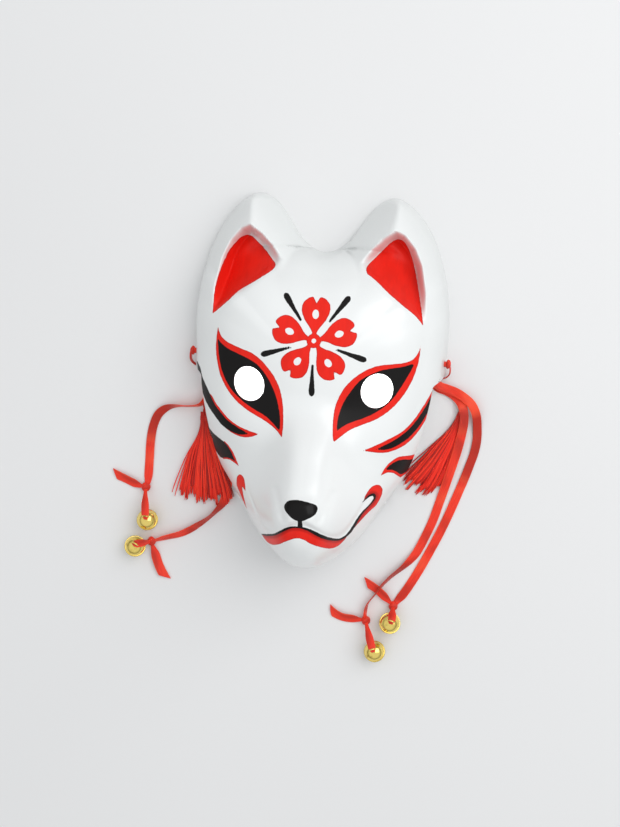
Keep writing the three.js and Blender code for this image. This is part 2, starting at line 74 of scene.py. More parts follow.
# Outlines of the shell, its ears and its brow, by points as shares. The rays of the grid start on
# the axis at MIDDLE, and angles are in radians from +Y.
MIDDLE = 0.085
JAW = [(1, 0.17), (0.985, -0.05), (0.845, -0.38), (0.6, -0.64), (0.32, -0.895), (0, -1)]
EAR = [
    (0, 0.698), (0.185, 0.765), (0.4, 0.96), (0.525, 1), (0.64, 0.968), (0.8, 0.85), (0.955, 0.59),
]
BROW_TOP = [(0, 0.71), (0.4, 0.715), (0.77, 0.66), (0.989, 0.451)]
BROW_RIM_ANGLES = (0.98, 1.12)
CROWN_TOP = [(0, 1.16), (0.37, 1.12), (0.7, 0.98), (0.9, 0.74), (0.985, 0.45)]
EAR_INNER_EDGE = ((0.165, 0.734), (0.47, 0.992))
EAR_TOP_EDGE = ((0.706, 0.946), (0.882, 0.742))
EAR_SIDE_EDGE = ((0.941, 0.73), (1, 0.445))
RECESS_FOOT = ((0.835, 0.347), (0.33, 0.605))
RECESS_CORNERS = [
    (0.559, 0.806), (0.612, 0.79), (0.688, 0.73), (0.744, 0.645), (0.78, 0.5),
    (0.788, 0.383), (0.576, 0.48), (0.365, 0.601), (0.32, 0.649), (0.471, 0.769),
]
RECESS_ROUNDING = 3.0

# Forms of the face. Each has a height in mm, then a middle, a width and a length as shares.
BROW_DIP = (3.5, 0, -0.105, 0.4, 0.145)
WHISKER_PAD = (6, 0.218, -0.645, 0.1, 0.097)
NOSE_TIP = (3, 0, -0.589, 0.124, 0.0685)
EYE_SOCKET = (3.5, 0.47, 0, 0.235, 0.161)

# The muzzle's half width at the brow and at the nose, and where it starts and stops rising
MUZZLE_WIDTH = (0.218, 0.288)
MUZZLE_RISE = (-0.016, -0.613)

# The crease on each side of the nose, in millimetres
NOSE_CREASE = ((17.5, -62.5), (11.5, -77))
NOSE_CREASE_DEPTH = 1.1
NOSE_CREASE_WIDTH = 2.6

# Openings, in millimetres: the middle of an eye and its turn in radians, and of a strap hole
EYE_X = 41.2
EYE_Y = 0.8
EYE_TURN = 0.35
STRAP_HOLE = (85.0, 16.5, 10.0)

# Grid of the shell
SHELL_RAYS = 468
FACE_RINGS = 166
BACK_RINGS = 28
RIM_SHARE = 0.94

# Half the width of a painted edge and a distance that is well outside a mark, in millimetres, and
# the grey of the painted shade near the rim, which the white's faint mottling also leans to
PAINT_EDGE = 0.16
FAR = 9.0
RIM_SHADE_GREY = (0.66, 0.68, 0.67, 1)

# Painted marks, in millimetres on the plan of the mask. Each outline is a list of lines that meet at
# corners, and each line is smooth through its points.
RED_MARKS = {
    "ear_left": [
        [(-68.6, 43.6), (-68.6, 56.3), (-67.1, 68.7), (-62.8, 82.5), (-56.9, 91.7), (-52.4, 95.2),
         (-48.4, 94.9), (-42, 89.6), (-32.6, 80.5), (-29.2, 76.9), (-32.8, 72.2)],
        [(-32.8, 72.2), (-42.9, 65.2), (-51.2, 59.9), (-57.6, 53.2), (-68.6, 43.6)],
    ],
    "ear_right": [
        [(68.2, 42.6), (66.4, 53), (64.3, 62.1), (60.6, 77.4), (57.2, 87.6), (52.9, 95.4),
         (48.8, 97.3), (44.6, 95.6), (34.2, 84.5), (29.6, 78.6), (30.5, 74.2)],
        [(30.5, 74.2), (37.3, 69.5), (45.9, 62.1), (54.2, 55.7), (62.6, 49.2), (68.2, 42.6)],
    ],
    "eye_left": [
        [(-63.9, 36.7), (-63, 32.9), (-60.9, 29.6), (-56.4, 26.5), (-50.7, 24.5), (-44.4, 22.5),
         (-39, 20.6), (-33.5, 16.9), (-28.7, 12.1), (-24.6, 6.9), (-21.5, 1.3), (-19.3, -5.4),
         (-18, -12.4), (-17.3, -19.2), (-16.9, -25.3), (-17.2, -31)],
        [(-17.2, -31), (-22.3, -26.6), (-28.7, -22.6), (-36.3, -19.1), (-43.2, -15.6),
         (-50.3, -10.5), (-56.5, -3.6), (-61, 4.2), (-63.7, 12.7), (-65, 20.4), (-64.9, 28.2),
         (-63.9, 36.7)],
    ],
    "eye_right": [
        [(67.2, 31), (66.3, 26.9), (64, 22.7), (60.4, 20.2), (54.8, 18.9), (47.3, 18.1),
         (39.8, 16.7), (33.1, 13.6), (27, 9.2), (21.6, 3.5), (17.8, -3.2), (15.3, -10.4),
         (14.6, -18.5), (14.9, -25.7), (16, -32)],
        [(16, -32), (20.3, -28.6), (25.6, -24.6), (32.9, -21.3), (40.3, -18.3), (47, -14),
         (53.1, -8.4), (58.4, -1.2), (62.7, 6.9), (65.4, 15), (66.9, 22.7), (67.2, 31)],
    ],
    "cheek_left": [
        [(-33, -31.1), (-39.1, -33.8), (-44.7, -34.6), (-49.7, -33.6), (-54.9, -31.4)],
        [(-54.9, -31.4), (-59.4, -28), (-66, -19.6), (-70, -14), (-73, -8)],
        [(-73, -8), (-67.9, -9.5), (-64, -14.6), (-59.4, -19.2), (-54.2, -23.8), (-48.4, -27),
         (-42, -29.2), (-33, -31.1)],
    ],
    "cheek_right": [
        [(33.8, -37.8), (39.3, -35.9), (45.5, -33), (51.6, -29.8), (57.2, -26.7), (62.6, -21.9),
         (67.4, -15.4), (71.5, -8.7), (75, -2.3), (77.6, 3)],
        [(77.6, 3), (77.8, -0.7), (77.5, -6.1), (75.6, -13.3), (72.8, -19.8), (69.2, -26),
         (65, -31.4), (60.1, -35.5), (53.9, -38.5), (47, -39.8), (40.1, -39.1), (33.8, -37.8)],
    ],
    "jowl_left": [
        [(-46.5, -54.9), (-48.9, -50.3), (-51.2, -46), (-54.2, -42.4), (-58, -39.3)],
        [(-58, -39.3), (-58.6, -46), (-60.1, -53.2)],
        [(-60.1, -53.2), (-57.5, -52.4), (-54.2, -51.8), (-50.3, -53), (-46.5, -54.9)],
    ],
    "jowl_right": [
        [(46.1, -55.6), (47.6, -52), (49.9, -48.5), (53.6, -45), (57.9, -43), (63, -43.1),
         (69.6, -42.8)],
        [(69.6, -42.8), (67, -48.2), (65.3, -53.2), (63.5, -55.8), (61, -57.1), (58.8, -58.4)],
        [(58.8, -58.4), (56.6, -56.3), (54, -54.1), (50.8, -53.4), (48.3, -54.1), (46.1, -55.6)],
    ],
    "curl_left": [
        [(-41.1, -70.8), (-41.6, -65), (-43, -61), (-45.6, -60), (-47.5, -61.8), (-48.4, -64.8),
         (-48.3, -69.3), (-46.4, -73.1), (-43.8, -78.6), (-40.6, -85)],
        [(-40.6, -85), (-42.2, -77.3), (-43.2, -72.5), (-43.7, -68.2)],
        [(-43.7, -68.2), (-42.6, -68.9), (-41.1, -70.8)],
    ],
    "curl_right": [
        [(36.4, -70.8), (37.6, -66.8), (39.7, -63.2), (42.4, -61.2), (45.5, -61.2), (47.7, -64.1),
         (47.6, -68.1), (46.2, -72.3), (44.1, -75.9), (41.2, -78.3), (38.2, -81.1), (35.3, -84.2),
         (32.4, -87.4), (29.6, -90.6)],
        [(29.6, -90.6), (32.1, -85), (34.1, -80.5), (36.4, -77.2), (39.3, -74.7), (41.6, -71.7),
         (42.6, -69.3), (42, -68), (39.7, -68.4), (36.4, -70.8)],
    ],
    "lip": [
        [(-29.2, -97.6), (-23.8, -94.6), (-18.6, -91.4), (-13.1, -86.6), (-8.5, -83.6), (-4.6, -82.2),
         (-0.2, -82), (4.2, -82.9), (9, -85.3), (13.8, -88.5), (18.3, -91.8), (22.1, -93.8),
         (25.5, -93.3), (28.6, -90.4)],
        [(28.6, -90.4), (26.7, -94.6), (24.4, -97.3), (21.5, -99.4), (18.1, -99.4), (14.9, -97.6),
         (10.3, -94.9), (6.2, -92.6), (2.5, -90.2), (-1.2, -89.4), (-4.4, -90.1), (-9, -92.6),
         (-14.1, -96.6), (-20.3, -100.9), (-25.4, -102.2), (-29.2, -97.6)],
    ],
}
BLACK_MARKS = {
    "eye_left": [
        [(-64, 28.3), (-60.7, 25.1), (-55.5, 22.1), (-49.2, 19.8), (-42.9, 17.4), (-36.8, 14.3),
         (-32, 9.8), (-27.9, 4.3), (-25.1, -1), (-22.6, -7), (-20.6, -13.9), (-19.5, -19.4),
         (-18.9, -27.4)],
        [(-18.9, -27.4), (-23.2, -23.9), (-28.5, -19.7), (-35.1, -16.4), (-42, -12.9), (-49, -8),
         (-54.8, -2), (-59.2, 5.4), (-61.7, 12.6), (-63.2, 20.6), (-64, 28.3)],
    ],
    "eye_right": [
        [(64.2, 19.2), (57.4, 17), (49.9, 15.6), (43.1, 14.2), (36.9, 11.4), (30.8, 7.7),
         (25.8, 1.6), (21.3, -5.7), (18.6, -12.8), (17.4, -19.1), (17.6, -25.2)],
        [(17.6, -25.2), (21.1, -22.4), (26.5, -19.6), (33.3, -17.2), (40.1, -13.8), (46.2, -9.5),
         (51.6, -3.9), (56.2, 3.4), (60.3, 10.8), (63.1, 16.6), (64.2, 19.2)],
    ],
    "cheek_left": [
        [(-40, -31.9), (-46, -33.2), (-50.4, -32.6), (-55.2, -31), (-59.4, -28.8), (-63.2, -25.3),
         (-67.1, -21.3), (-70.4, -17.5), (-73.4, -13), (-76.9, -5.6), (-78.9, 1.4), (-81.5, 11)],
        [(-81.5, 11), (-77.6, 7.1), (-75.1, 0.9), (-71.6, -4.4), (-68.4, -9.9), (-65, -15.4),
         (-60.2, -20.4), (-54.8, -25), (-48.6, -28.2), (-40, -31.9)],
    ],
    "cheek_right": [
        [(41.9, -37.3), (46.2, -35.4), (52.4, -32.2), (58.5, -28.1), (64, -23), (68.7, -16.6),
         (72.8, -9.5), (75.9, -3.1), (81.5, 9)],
        [(81.5, 9), (79, -1), (77.2, -6), (74.9, -12.5), (71.7, -19), (67.9, -24.7), (63, -30.2),
         (57.5, -34.2), (51.9, -37), (46.9, -37.8), (41.9, -37.3)],
    ],
    "jowl_left": [
        [(-49, -52.3), (-50.4, -50), (-53.2, -45.2), (-57, -41), (-62.7, -37.9), (-67.7, -35.2),
         (-71.1, -31.8)],
        [(-71.1, -31.8), (-71.4, -37), (-69.4, -42.2), (-67, -47), (-63.5, -50.6), (-60.4, -52.4),
         (-57.6, -51.4), (-54.2, -50.9), (-49, -52.3)],
    ],
    "jowl_right": [
        [(48.8, -51.7), (52.4, -48), (56.8, -45.7), (61.2, -45.5), (65.1, -46.2), (69.6, -44)],
        [(69.6, -44), (66.9, -48.6), (65.3, -53.2), (62.2, -55.1), (59.1, -56), (56.5, -53.8),
         (53.2, -51.9), (48.8, -51.7)],
    ],
    "nose": [
        [(-10.8, -70), (-9.7, -67.2), (-6.6, -65.4), (-2.2, -64.9), (2.2, -65.5), (6.6, -66.4),
         (9.1, -67.6), (10.2, -69.6), (9.4, -72.4), (7.2, -74.4), (4.2, -76), (1.6, -77.3),
         (-0.1, -77.7), (-2.6, -77.2), (-5.1, -76), (-7.8, -73.9), (-9.9, -71.9), (-10.8, -70)],
    ],
    "stem": [
        [(-1.9, -75.5), (-1.6, -79), (-2.1, -82.6)],
        [(-2.1, -82.6), (1.7, -82.6)],
        [(1.7, -82.6), (1.2, -79), (1.5, -75.5)],
        [(1.5, -75.5), (-1.9, -75.5)],
    ],
}

# The brush line between the lips, from the left corner of the mouth to the tip of the right curl,
# with half its width at each point
MOUTH_LINE = [
    (-28.8, -97.8, 0.3), (-26.4, -96.3, 0.6), (-23.4, -94.6, 0.65), (-18.2, -91.4, 0.65),
    (-12.7, -86.8, 0.75), (-8, -83.5, 0.8), (-4.2, -82.2, 0.6), (0.2, -82.1, 0.6), (4.6, -83.2, 0.8),
    (9.4, -85.8, 1), (14.1, -89, 1), (18.6, -92.1, 0.85), (22.5, -94, 0.75), (25.8, -93.5, 0.8),
    (28.8, -90.9, 0.95), (31.2, -87, 0.95), (33.4, -82.8, 0.8), (35.8, -79, 0.65), (38.6, -76, 0.55),
    (41.2, -73.3, 0.5), (43.3, -69.8, 0.7), (42.4, -67.4, 0.9), (39.6, -68, 0.7), (36.2, -71.2, 0.25),
]

# The blossom on the forehead, in millimetres: one petal along +X from the blossom's middle
BLOSSOM_MIDDLE = (0.0, 31.2)
BLOSSOM_PETALS = 5
PETAL_SIDE = [(2.5, 0.9), (7, 2.4), (12.5, 6.4), (18, 8.9), (23, 8.6), (26.6, 5.2), (27.4, 2.2)]
PETAL_NOTCH = (23.4, 0.0)
PETAL_DOT = (16.6, 2.9, 2.1)
BLOSSOM_HEART = 4.6
HEART_DOT = 1.5
STROKE_SIDE = [(15, 0.7), (20, 1), (26, 1.4), (31, 1.9), (34.2, 1.7), (35.6, 0)]

# Routes of the ribbons, as in the part's source, where a point without a height lies flat on the
# floor, and how far each ribbon is rolled about its route, in degrees, at some of its points
RIBBON_LIES = 0.00075
RIBBON_ROUTES = {
    "left_upper": [
        (-0.0734, 0.0174, 0.011), (-0.0738, 0.012, 0.0076), (-0.0746, 0.0055, 0.0036),
        (-0.0752, -0.002, 0.0013), (-0.0754, -0.0095), (-0.0764, -0.0165), (-0.0806, -0.0212),
        (-0.0874, -0.0223), (-0.0969, -0.0229), (-0.104, -0.0248), (-0.1094, -0.0294),
        (-0.1127, -0.0373), (-0.1142, -0.0465), (-0.1148, -0.0621), (-0.1153, -0.0762),
    ],
    "left_lower": [
        (-0.0736, 0.0146, 0.0064), (-0.0715, 0.01, 0.0036), (-0.0686, 0.005, 0.0013), (-0.0666, -0.003),
        (-0.066, -0.014), (-0.0658, -0.027), (-0.0652, -0.04), (-0.0634, -0.053), (-0.0608, -0.065),
        (-0.0598, -0.077), (-0.0622, -0.088), (-0.0677, -0.0952), (-0.0748, -0.1016),
        (-0.0828, -0.1076), (-0.091, -0.1118), (-0.0996, -0.1148), (-0.1066, -0.117),
    ],
    "right_front": [
        (0.0734, 0.015, 0.0064), (0.074, 0.0094, 0.0032), (0.076, 0.0036, 0.0013), (0.0802, -0.0004),
        (0.0856, -0.0022), (0.0906, -0.0046, 0.0016), (0.0952, -0.0086, 0.0034),
        (0.0978, -0.0138, 0.0051), (0.0988, -0.0204, 0.0054), (0.098, -0.029, 0.0052),
        (0.0962, -0.0391, 0.0048), (0.0936, -0.0495, 0.0042), (0.0906, -0.0607, 0.0034),
        (0.086, -0.0775, 0.0011), (0.0816, -0.0925), (0.0752, -0.1082), (0.071, -0.1162),
        (0.0658, -0.1226), (0.057, -0.1306), (0.0502, -0.1385), (0.0452, -0.1456), (0.0409, -0.152),
        (0.0396, -0.1594),
    ],
    "right_rear": [
        (0.0734, 0.017, 0.011), (0.074, 0.011, 0.007), (0.0764, 0.0052, 0.0042), (0.081, 0.001, 0.0028),
        (0.0866, -0.0008, 0.0026), (0.0924, -0.0026, 0.0036), (0.098, -0.0056, 0.0054),
        (0.1032, -0.01, 0.0062), (0.1066, -0.017, 0.0044), (0.1079, -0.025, 0.0019), (0.1082, -0.0342),
        (0.107, -0.043), (0.1046, -0.0515), (0.101, -0.0626), (0.0954, -0.0784), (0.0902, -0.0924),
        (0.0832, -0.1086), (0.0772, -0.1214), (0.0712, -0.1332), (0.0652, -0.1434), (0.0612, -0.1488),
    ],
}
RIBBON_ROLLS = {
    "left_upper": [(0, 0), (4, 10), (6, 74), (8, 76), (9, 35), (10, 8), (12, 0), (14, 0)],
    "left_lower": [(0, 0), (9, 0), (10, 18), (11, 76), (12, 56), (13, 34), (14, 38), (16, 55)],
    "right_front": [(0, 0), (14, 0), (16, 10), (17, 45), (18, 62), (19, 66), (20, 80), (21, 82), (22, 60)],
    "right_rear": [(0, 0), (8, 8), (12, 5), (20, 0)],
}

# Stretches where a ribbon is darker as painted shade, where it turns from the light, from one point of its
# route to another
RIBBON_SHADED_STRETCHES = {
    "left_upper": [(8, 12)],
    "left_lower": [(10, 13)],
    "right_front": [(7, 9), (17, 21)],
    "right_rear": [(8, 13)],
}

# Ends of the ribbons: the knot, the tail's course, the edge that its slanting cut takes back (1 for
# the right one as seen from the knot, -1 for the left), the middle of the bell and the way it leans
RIBBON_ENDS = {
    "left_upper": {
        "knot": (-0.1162, -0.0806),
        "tail": [(-0.1225, -0.0792, 0.0018), (-0.1322, -0.0755, 0.0014), (-0.141, -0.0721, 0.0009)],
        "cut": -1,
        "bell": (-0.1136, -0.1025),
        "lean": 1.52,
    },
    "left_lower": {
        "knot": (-0.1112, -0.1184),
        "tail": [(-0.1088, -0.126, 0.0018), (-0.105, -0.1364, 0.0014), (-0.0996, -0.146, 0.0009)],
        "cut": 1,
        "bell": (-0.1216, -0.1216),
        "lean": 1.05,
    },
    "right_front": {
        "knot": (0.0402, -0.1639),
        "tail": [(0.0336, -0.1636, 0.0018), (0.023, -0.1628, 0.0014), (0.0132, -0.157, 0.0009)],
        "cut": -1,
        "bell": (0.0475, -0.1841),
        "lean": 1.9,
    },
    "right_rear": {
        "knot": (0.0584, -0.1523),
        "tail": [(0.0526, -0.1466, 0.0028), (0.0454, -0.1408, 0.0029), (0.0366, -0.1364, 0.002)],
        "cut": -1,
        "bell": (0.0568, -0.1634),
        "lean": 1.25,
    },
}

# The band of ribbon from the outer turn in the right strap hole, round the corner of the scallop.
# The left one mirrors it.
STRAP_BAND = [
    (0.0866, 0.0165, 0.01), (0.0874, 0.0125, 0.0082), (0.0868, 0.009, 0.0058), (0.0842, 0.0066, 0.0038),
    (0.0806, 0.0062, 0.003), (0.077, 0.0082, 0.0036), (0.0748, 0.0122, 0.006),
]

# Thickness of a fold in a strap hole, points round a ribbon's section, how much a ribbon ripples and
# over what length, the size of a knot and its gap over the floor
STRAP_FOLD = 0.0034
RIBBON_SIDES = 24
RIPPLE = 0.0002
RIPPLE_LENGTH = 0.023
KNOT_WIDTH = 0.006
KNOT_HEIGHT = 0.005
GAP = 0.0003

# Bells: the height of the middle, the tilt of the axis, the rolled seam, the sheet, the loop across
# and its wire, then the slit: how far out its end holes are, their radius, and how much narrower the
# slit is
BELL_CENTRE_HEIGHT = 0.00715
BELL_TILT = 0.44
BELL_SEAM = 0.0005
BELL_WALL = 0.0006
BELL_LOOP = 0.005
BELL_LOOP_WIRE = 0.0011
SLIT_REACH = 0.0048
SLIT_HOLE = 0.0013
SLIT_NARROWING = 0.6

# Tassels: the neck, the turn from -Y, the width of the fan, how far its end bends sideways, and the
# stray threads, each by how far aside it lies and how far down it reaches, as shares of the bundle's
TASSELS = {
    "left": {
        "neck": (-0.0774, -0.0258, 0.0016), "turn": 0.02, "fan": 0.04, "bend": 0.002,
        "strays": [(-1.32, 0.86), (-1.16, 0.9), (1.06, 0.88)],
    },
    "right": {
        "neck": (0.0978, -0.0145, 0.0003), "turn": -0.33, "fan": 0.026, "bend": -0.01,
        "strays": [(-1.38, 0.8), (-1.2, 0.9), (-1.1, 0.84), (1.3, 0.82)],
    },
}
TASSEL_LOCKS = 22
TASSEL_HANGER = 0.0105
TASSEL_LENGTH = 0.066
TASSEL_NECK_WIDTH = 0.0052
TASSEL_NECK_HEIGHT = 0.0036
TASSEL_HEIGHT = 0.005
THREAD_RINGS = 22

# Camera: what it looks at and from how far, its turns, and its lens and sensor in millimetres
CAMERA_TARGET = (-0.0054, -0.0231, 0.0)
CAMERA_DISTANCE = 0.95
CAMERA_YAW = math.radians(4.86)
CAMERA_PITCH = math.radians(7.46)
CAMERA_ROLL = math.radians(2.75)
CAMERA_LENS = 60.8
CAMERA_SENSOR = 36.0

# Light of the sky at the horizon and above, the heights between which it changes and its strength
SKY_LOW = (0.36, 0.37, 0.37, 1)
SKY_HIGH = (0.97, 0.985, 1.0, 1)
SKY_RISE = (0.05, 0.6)
SKY_STRENGTH = 0.8


def length_property(name, description, default):
    """A length in metres."""
    return bpy.props.FloatProperty(name=name, description=description, default=default, unit="LENGTH")


class FoxMaskSizes(bpy.types.PropertyGroup):
    """Sizes that a user would change."""

    eye_width: length_property("Eye opening width", "Width of each eye opening", 0.02)
    eye_length: length_property("Eye opening length", "Length of each eye opening", 0.0226)
    strap_hole: length_property("Strap hole", "Diameter of the hole at each temple", 0.005)
    mouth_groove: length_property("Mouth groove", "Depth of the groove between the lips", 0.0016)
    ribbon_width: length_property("Ribbon width", "Width of the satin ribbon", 0.006)
    ribbon_thickness: length_property("Ribbon thickness", "Thickness of the satin ribbon", 0.0007)
    bell_diameter: length_property("Bell diameter", "Diameter of a bell over its seam", 0.015)
    thread_width: length_property("Thread width", "Thickness of a tassel's thread", 0.00075)
    thread_count: bpy.props.IntProperty(
        name="Tassel threads", description="Number of threads in each tassel", default=230, min=20)


def colour_property(name, description, default):
    """A colour that shows as a swatch in the panel."""
    return bpy.props.FloatVectorProperty(
        name=name, description=description, default=default, size=4, min=0, max=1, subtype="COLOR")


class FoxMaskColours(bpy.types.PropertyGroup):
    """Colours that a user would change."""

    lacquer: colour_property("Lacquer", "White lacquer of the shell", (0.87, 0.885, 0.88, 1))
    red_paint: colour_property("Red paint", "Red of the painted marks", (0.87, 0.021, 0.011, 1))
    # This red is also the painted shade of the groove beside the mouth's line.
    red_edge_and_groove_shade: colour_property("Red paint edge", "Red at a brushed edge", (0.42, 0.008, 0.006, 1))
    black_paint: colour_property("Black paint", "Black of the painted marks", (0.007, 0.006, 0.006, 1))
    ribbon: colour_property("Ribbon", "Satin ribbon", (0.94, 0.041, 0.017, 1))
    thread: colour_property("Thread", "Silk thread of the tassels", (0.9, 0.027, 0.013, 1))
    brass: colour_property("Brass", "Thin sheet of the bells", (0.93, 0.72, 0.2, 1))
    floor: colour_property("Floor", "Plain floor under the mask", (0.825, 0.825, 0.825, 1))


def smooth_step(start, end, x):
    """0 before start, 1 after end, and the cubic t squared times (3 - 2t) between them."""
    t = np.clip((x - start) / (end - start), 0.0, 1.0)
    return t * t * (3 - 2 * t)


def cubic(t, start, end, start_slope, end_slope):
    """The cubic that leaves start with one slope and reaches end with the other as t runs from 0 to 1."""
    ease = t * t * (3 - 2 * t)
    return (
        (1 - ease) * start + ease * end
        + t * (1 - t) ** 2 * start_slope - t * t * (1 - t) * end_slope
    )


def polar_outline(points):
    """An outline as its distance from the middle by angle from +Y: a cubic in polar form whose
    slope at each point is that of the line between its neighbours."""
    u, v = np.array(points).T
    angles = np.arctan2(u, v - MIDDLE)
    radii = np.hypot(u, v - MIDDLE)
    angles = np.concatenate([[-angles[1]], angles, [2 * np.pi - angles[-2]]])
    radii = np.concatenate([[radii[1]], radii, [radii[-2]]])
    slopes = (radii[2:] - radii[:-2]) / (angles[2:] - angles[:-2])
    angles, radii = angles[1:-1], radii[1:-1]

    def reach(angle):
        i = np.clip(np.searchsorted(angles, angle, side="right") - 1, 0, len(angles) - 2)
        span = angles[i + 1] - angles[i]
        t = (angle - angles[i]) / span
        return cubic(t, radii[i], radii[i + 1], span * slopes[i], span * slopes[i + 1])

    return reach


OUTLINE = polar_outline(EAR + JAW)
BROW = polar_outline(BROW_TOP + JAW)
CROWN = polar_outline(CROWN_TOP + JAW)


def brow_reach(angle):
    """The head's own outline, which runs no shorter than the shell's where it nears the rim."""
    longer = np.maximum(OUTLINE(angle) - BROW(angle), 0)
    return BROW(angle) + longer * smooth_step(*BROW_RIM_ANGLES, angle)


def rounded_min(a, b, k):
    """The lesser of two heights, with the crease between them rounded over a height k."""
    h = np.clip(0.5 + 0.5 * (b - a) / k, 0, 1)
    return b * (1 - h) + a * h - k * h * (1 - h)


def line_distance(u, v, line):
    """Distance in mm from a point to the line through two others, positive on its right."""
    (au, av), (bu, bv) = line
    ex, ey = (bu - au) * HALF_WIDTH, (bv - av) * HALF_LENGTH
    return ((u - au) * HALF_WIDTH * ey - (v - av) * HALF_LENGTH * ex) / np.hypot(ex, ey)


def segment_distance(x, y, start, end):
    """Distance to a straight stretch between two points, and the share of the way along it."""
    ex, ey = end[0] - start[0], end[1] - start[1]
    along = (x - start[0]) * ex + (y - start[1]) * ey
    t = np.clip(along / max(ex * ex + ey * ey, 1e-12), 0, 1)
    return np.hypot(x - start[0] - t * ex, y - start[1] - t * ey), t


def outline_distance(x, y, corners):
    """Distance to a closed outline, negative inside it. A point is inside where a line from it
    towards +X crosses the outline an odd number of times."""
    nearest = np.full(np.shape(x), np.inf)
    inside = np.zeros(np.shape(x), bool)
    for (ax, ay), (bx, by) in zip(corners, np.roll(corners, -1, axis=0)):
        nearest = np.minimum(nearest, segment_distance(x, y, (ax, ay), (bx, by))[0])
        if ay != by:
            inside ^= ((ay > y) != (by > y)) & (x < (bx - ax) * (y - ay) / (by - ay) + ax)
    return np.where(inside, -nearest, nearest)


def recess_distance(u, v):
    """Distance in mm to the rounded outline of an ear's recess, negative inside."""
    corners = np.array(RECESS_CORNERS) * (HALF_WIDTH, HALF_LENGTH)
    return outline_distance(u * HALF_WIDTH, v * HALF_LENGTH, corners) - RECESS_ROUNDING


def dome(u, v, outline):
    """Height share of a head that rolls over to its outline: the root of 1 less the share of the
    way out raised to a bluntness, which is greater at the chin."""
    share = np.hypot(u, v - MIDDLE) / outline(np.arctan2(u, v - MIDDLE))
    bluntness = 2.4 + 4.5 * smooth_step(-0.32, -0.85, v)
    return np.sqrt(np.maximum(1 - np.minimum(share, 1) ** bluntness, 0))


def bump(u, v, form, power=2):
    """A form of the face: its height at its middle, falling off as the bell curve of the distance
    over its width and length, or with a flatter top for a higher power."""
    height, middle_u, middle_v, width, length = form
    return height * np.exp(-(((u - middle_u) / width) ** power) - ((v - middle_v) / length) ** power)


def face_relief(u, v, soft):
    """Height of the head over the rim without its ears: the forehead, the bridge that rises to the
    nose, the whisker pads and the tip of the nose, less the brow's dip and the eye sockets."""
    narrow, broad = MUZZLE_WIDTH
    muzzle_width = narrow + (broad - narrow) * smooth_step(-0.137, -0.605, v)
    bridge = smooth_step(*MUZZLE_RISE, v) / (1 + (u / muzzle_width) ** 3.2)
    brow_dip = bump(0, v, BROW_DIP) / (1 + (u / BROW_DIP[3]) ** 4)
    nose_tip = 0 if soft else bump(u, v, NOSE_TIP, 4)
    return (
        FOREHEAD_HEIGHT + (NOSE_HEIGHT - FOREHEAD_HEIGHT) * bridge
        - brow_dip + bump(u, v, WHISKER_PAD) + nose_tip - bump(u, v, EYE_SOCKET)
    )


def mouth_depth(u, v, groove):
    """Depth of the groove between the lips: a narrow bell curve across the mouth's line, which dips
    on each side of the middle, then climbs towards its corners and fades."""
    line = -0.645 - 0.097 * smooth_step(0, 0.282, u) + 0.258 * smooth_step(0.259, 0.565, u)
    return bump(0, v, (groove, 0, line, 1, 0.0194)) * (1 - smooth_step(0.353, 0.518, u))


def nose_crease(u, v):
    """Depth in mm of the shallow crease that runs down each side of the nose: a bell curve of the
    distance from a short line."""
    distance, _ = segment_distance(u * HALF_WIDTH, v * HALF_LENGTH, *NOSE_CREASE)
    return NOSE_CREASE_DEPTH * np.exp(-((distance / NOSE_CREASE_WIDTH) ** 2))


def ear_heights(u, v, soft):
    """Heights of the head with its ears before their recesses, and of the recess's floor. An ear is
    a fuller head that is cut down by a slope from each of its edges."""
    face = face_relief(u, v, soft)
    head = face * dome(u, v, brow_reach)
    full_head = face * dome(u, v, CROWN)
    over_foot = line_distance(u, v, RECESS_FOOT)
    ear_top = head + (full_head - head) * smooth_step(-8, 26, over_foot)
    outer_edge = rounded_min(
        line_distance(u, v, EAR_TOP_EDGE), line_distance(u, v, EAR_SIDE_EDGE), 8)
    crest = rounded_min(line_distance(u, v, EAR_INNER_EDGE), outer_edge, 9 if soft else 2)
    ear_roof = rounded_min(ear_top, EAR_EDGE_HEIGHT + EAR_SLOPE * crest, 10 if soft else 6)
    rise = np.maximum(ear_roof - head, 0)
    roof = head + rise ** 2 / (rise + 3)
    floor = np.minimum(roof, ear_top - EAR_RECESS_DEPTH * smooth_step(-6, 22, over_foot))
    return roof, floor


def face_height(signed_u, v, soft, groove=0.0):
    """Height of the face over the rim in mm. The soft form, which the inside follows, has no
    recesses, groove or nose tip. At the rim the height rolls over as a quarter circle."""
    u = np.abs(signed_u)
    roof, floor = ear_heights(u, v, soft)
    height = roof - (0 if soft else mouth_depth(u, v, groove) + nose_crease(u, v))
    inset = (OUTLINE(np.arctan2(u, v - MIDDLE)) - np.hypot(u, v - MIDDLE)) * HALF_WIDTH
    roll = np.clip(inset / (2.2 * RIM_ROUNDING if soft else RIM_ROUNDING), 0, 1)
    height = height * np.sqrt(1 - (1 - roll) ** 2)
    if soft:
        return height
    dip = 1 - smooth_step(-EAR_RECESS_DRAFT, 0, recess_distance(u, v))
    return height + (np.minimum(floor, height) - height) * dip


def shell_reach(angle):
    """How far the shell runs along a ray: short of the outline beside the cheeks."""
    side = np.degrees(np.abs(angle))
    scallop = smooth_step(90.5, 94.5, side) * (1 - smooth_step(100, 150, side))
    return OUTLINE(np.abs(angle)) * (1 - CHEEK_SCALLOP * scallop)


def face_points(angle, share, soft, groove=0.0):
    """Points of the face in mm on rays from the middle: the radius is the ray's reach times the
    sine of a quarter turn's share."""
    radius = shell_reach(angle) * np.sin(share * np.pi / 2)
    u = radius * np.sin(angle)
    v = MIDDLE + radius * np.cos(angle)
    return np.stack([u * HALF_WIDTH, v * HALF_LENGTH, face_height(u, v, soft, groove)], -1)


def unit(vectors):
    """Vectors of length 1 with the same directions."""
    return vectors / np.maximum(np.linalg.norm(vectors, axis=-1, keepdims=True), 1e-12)


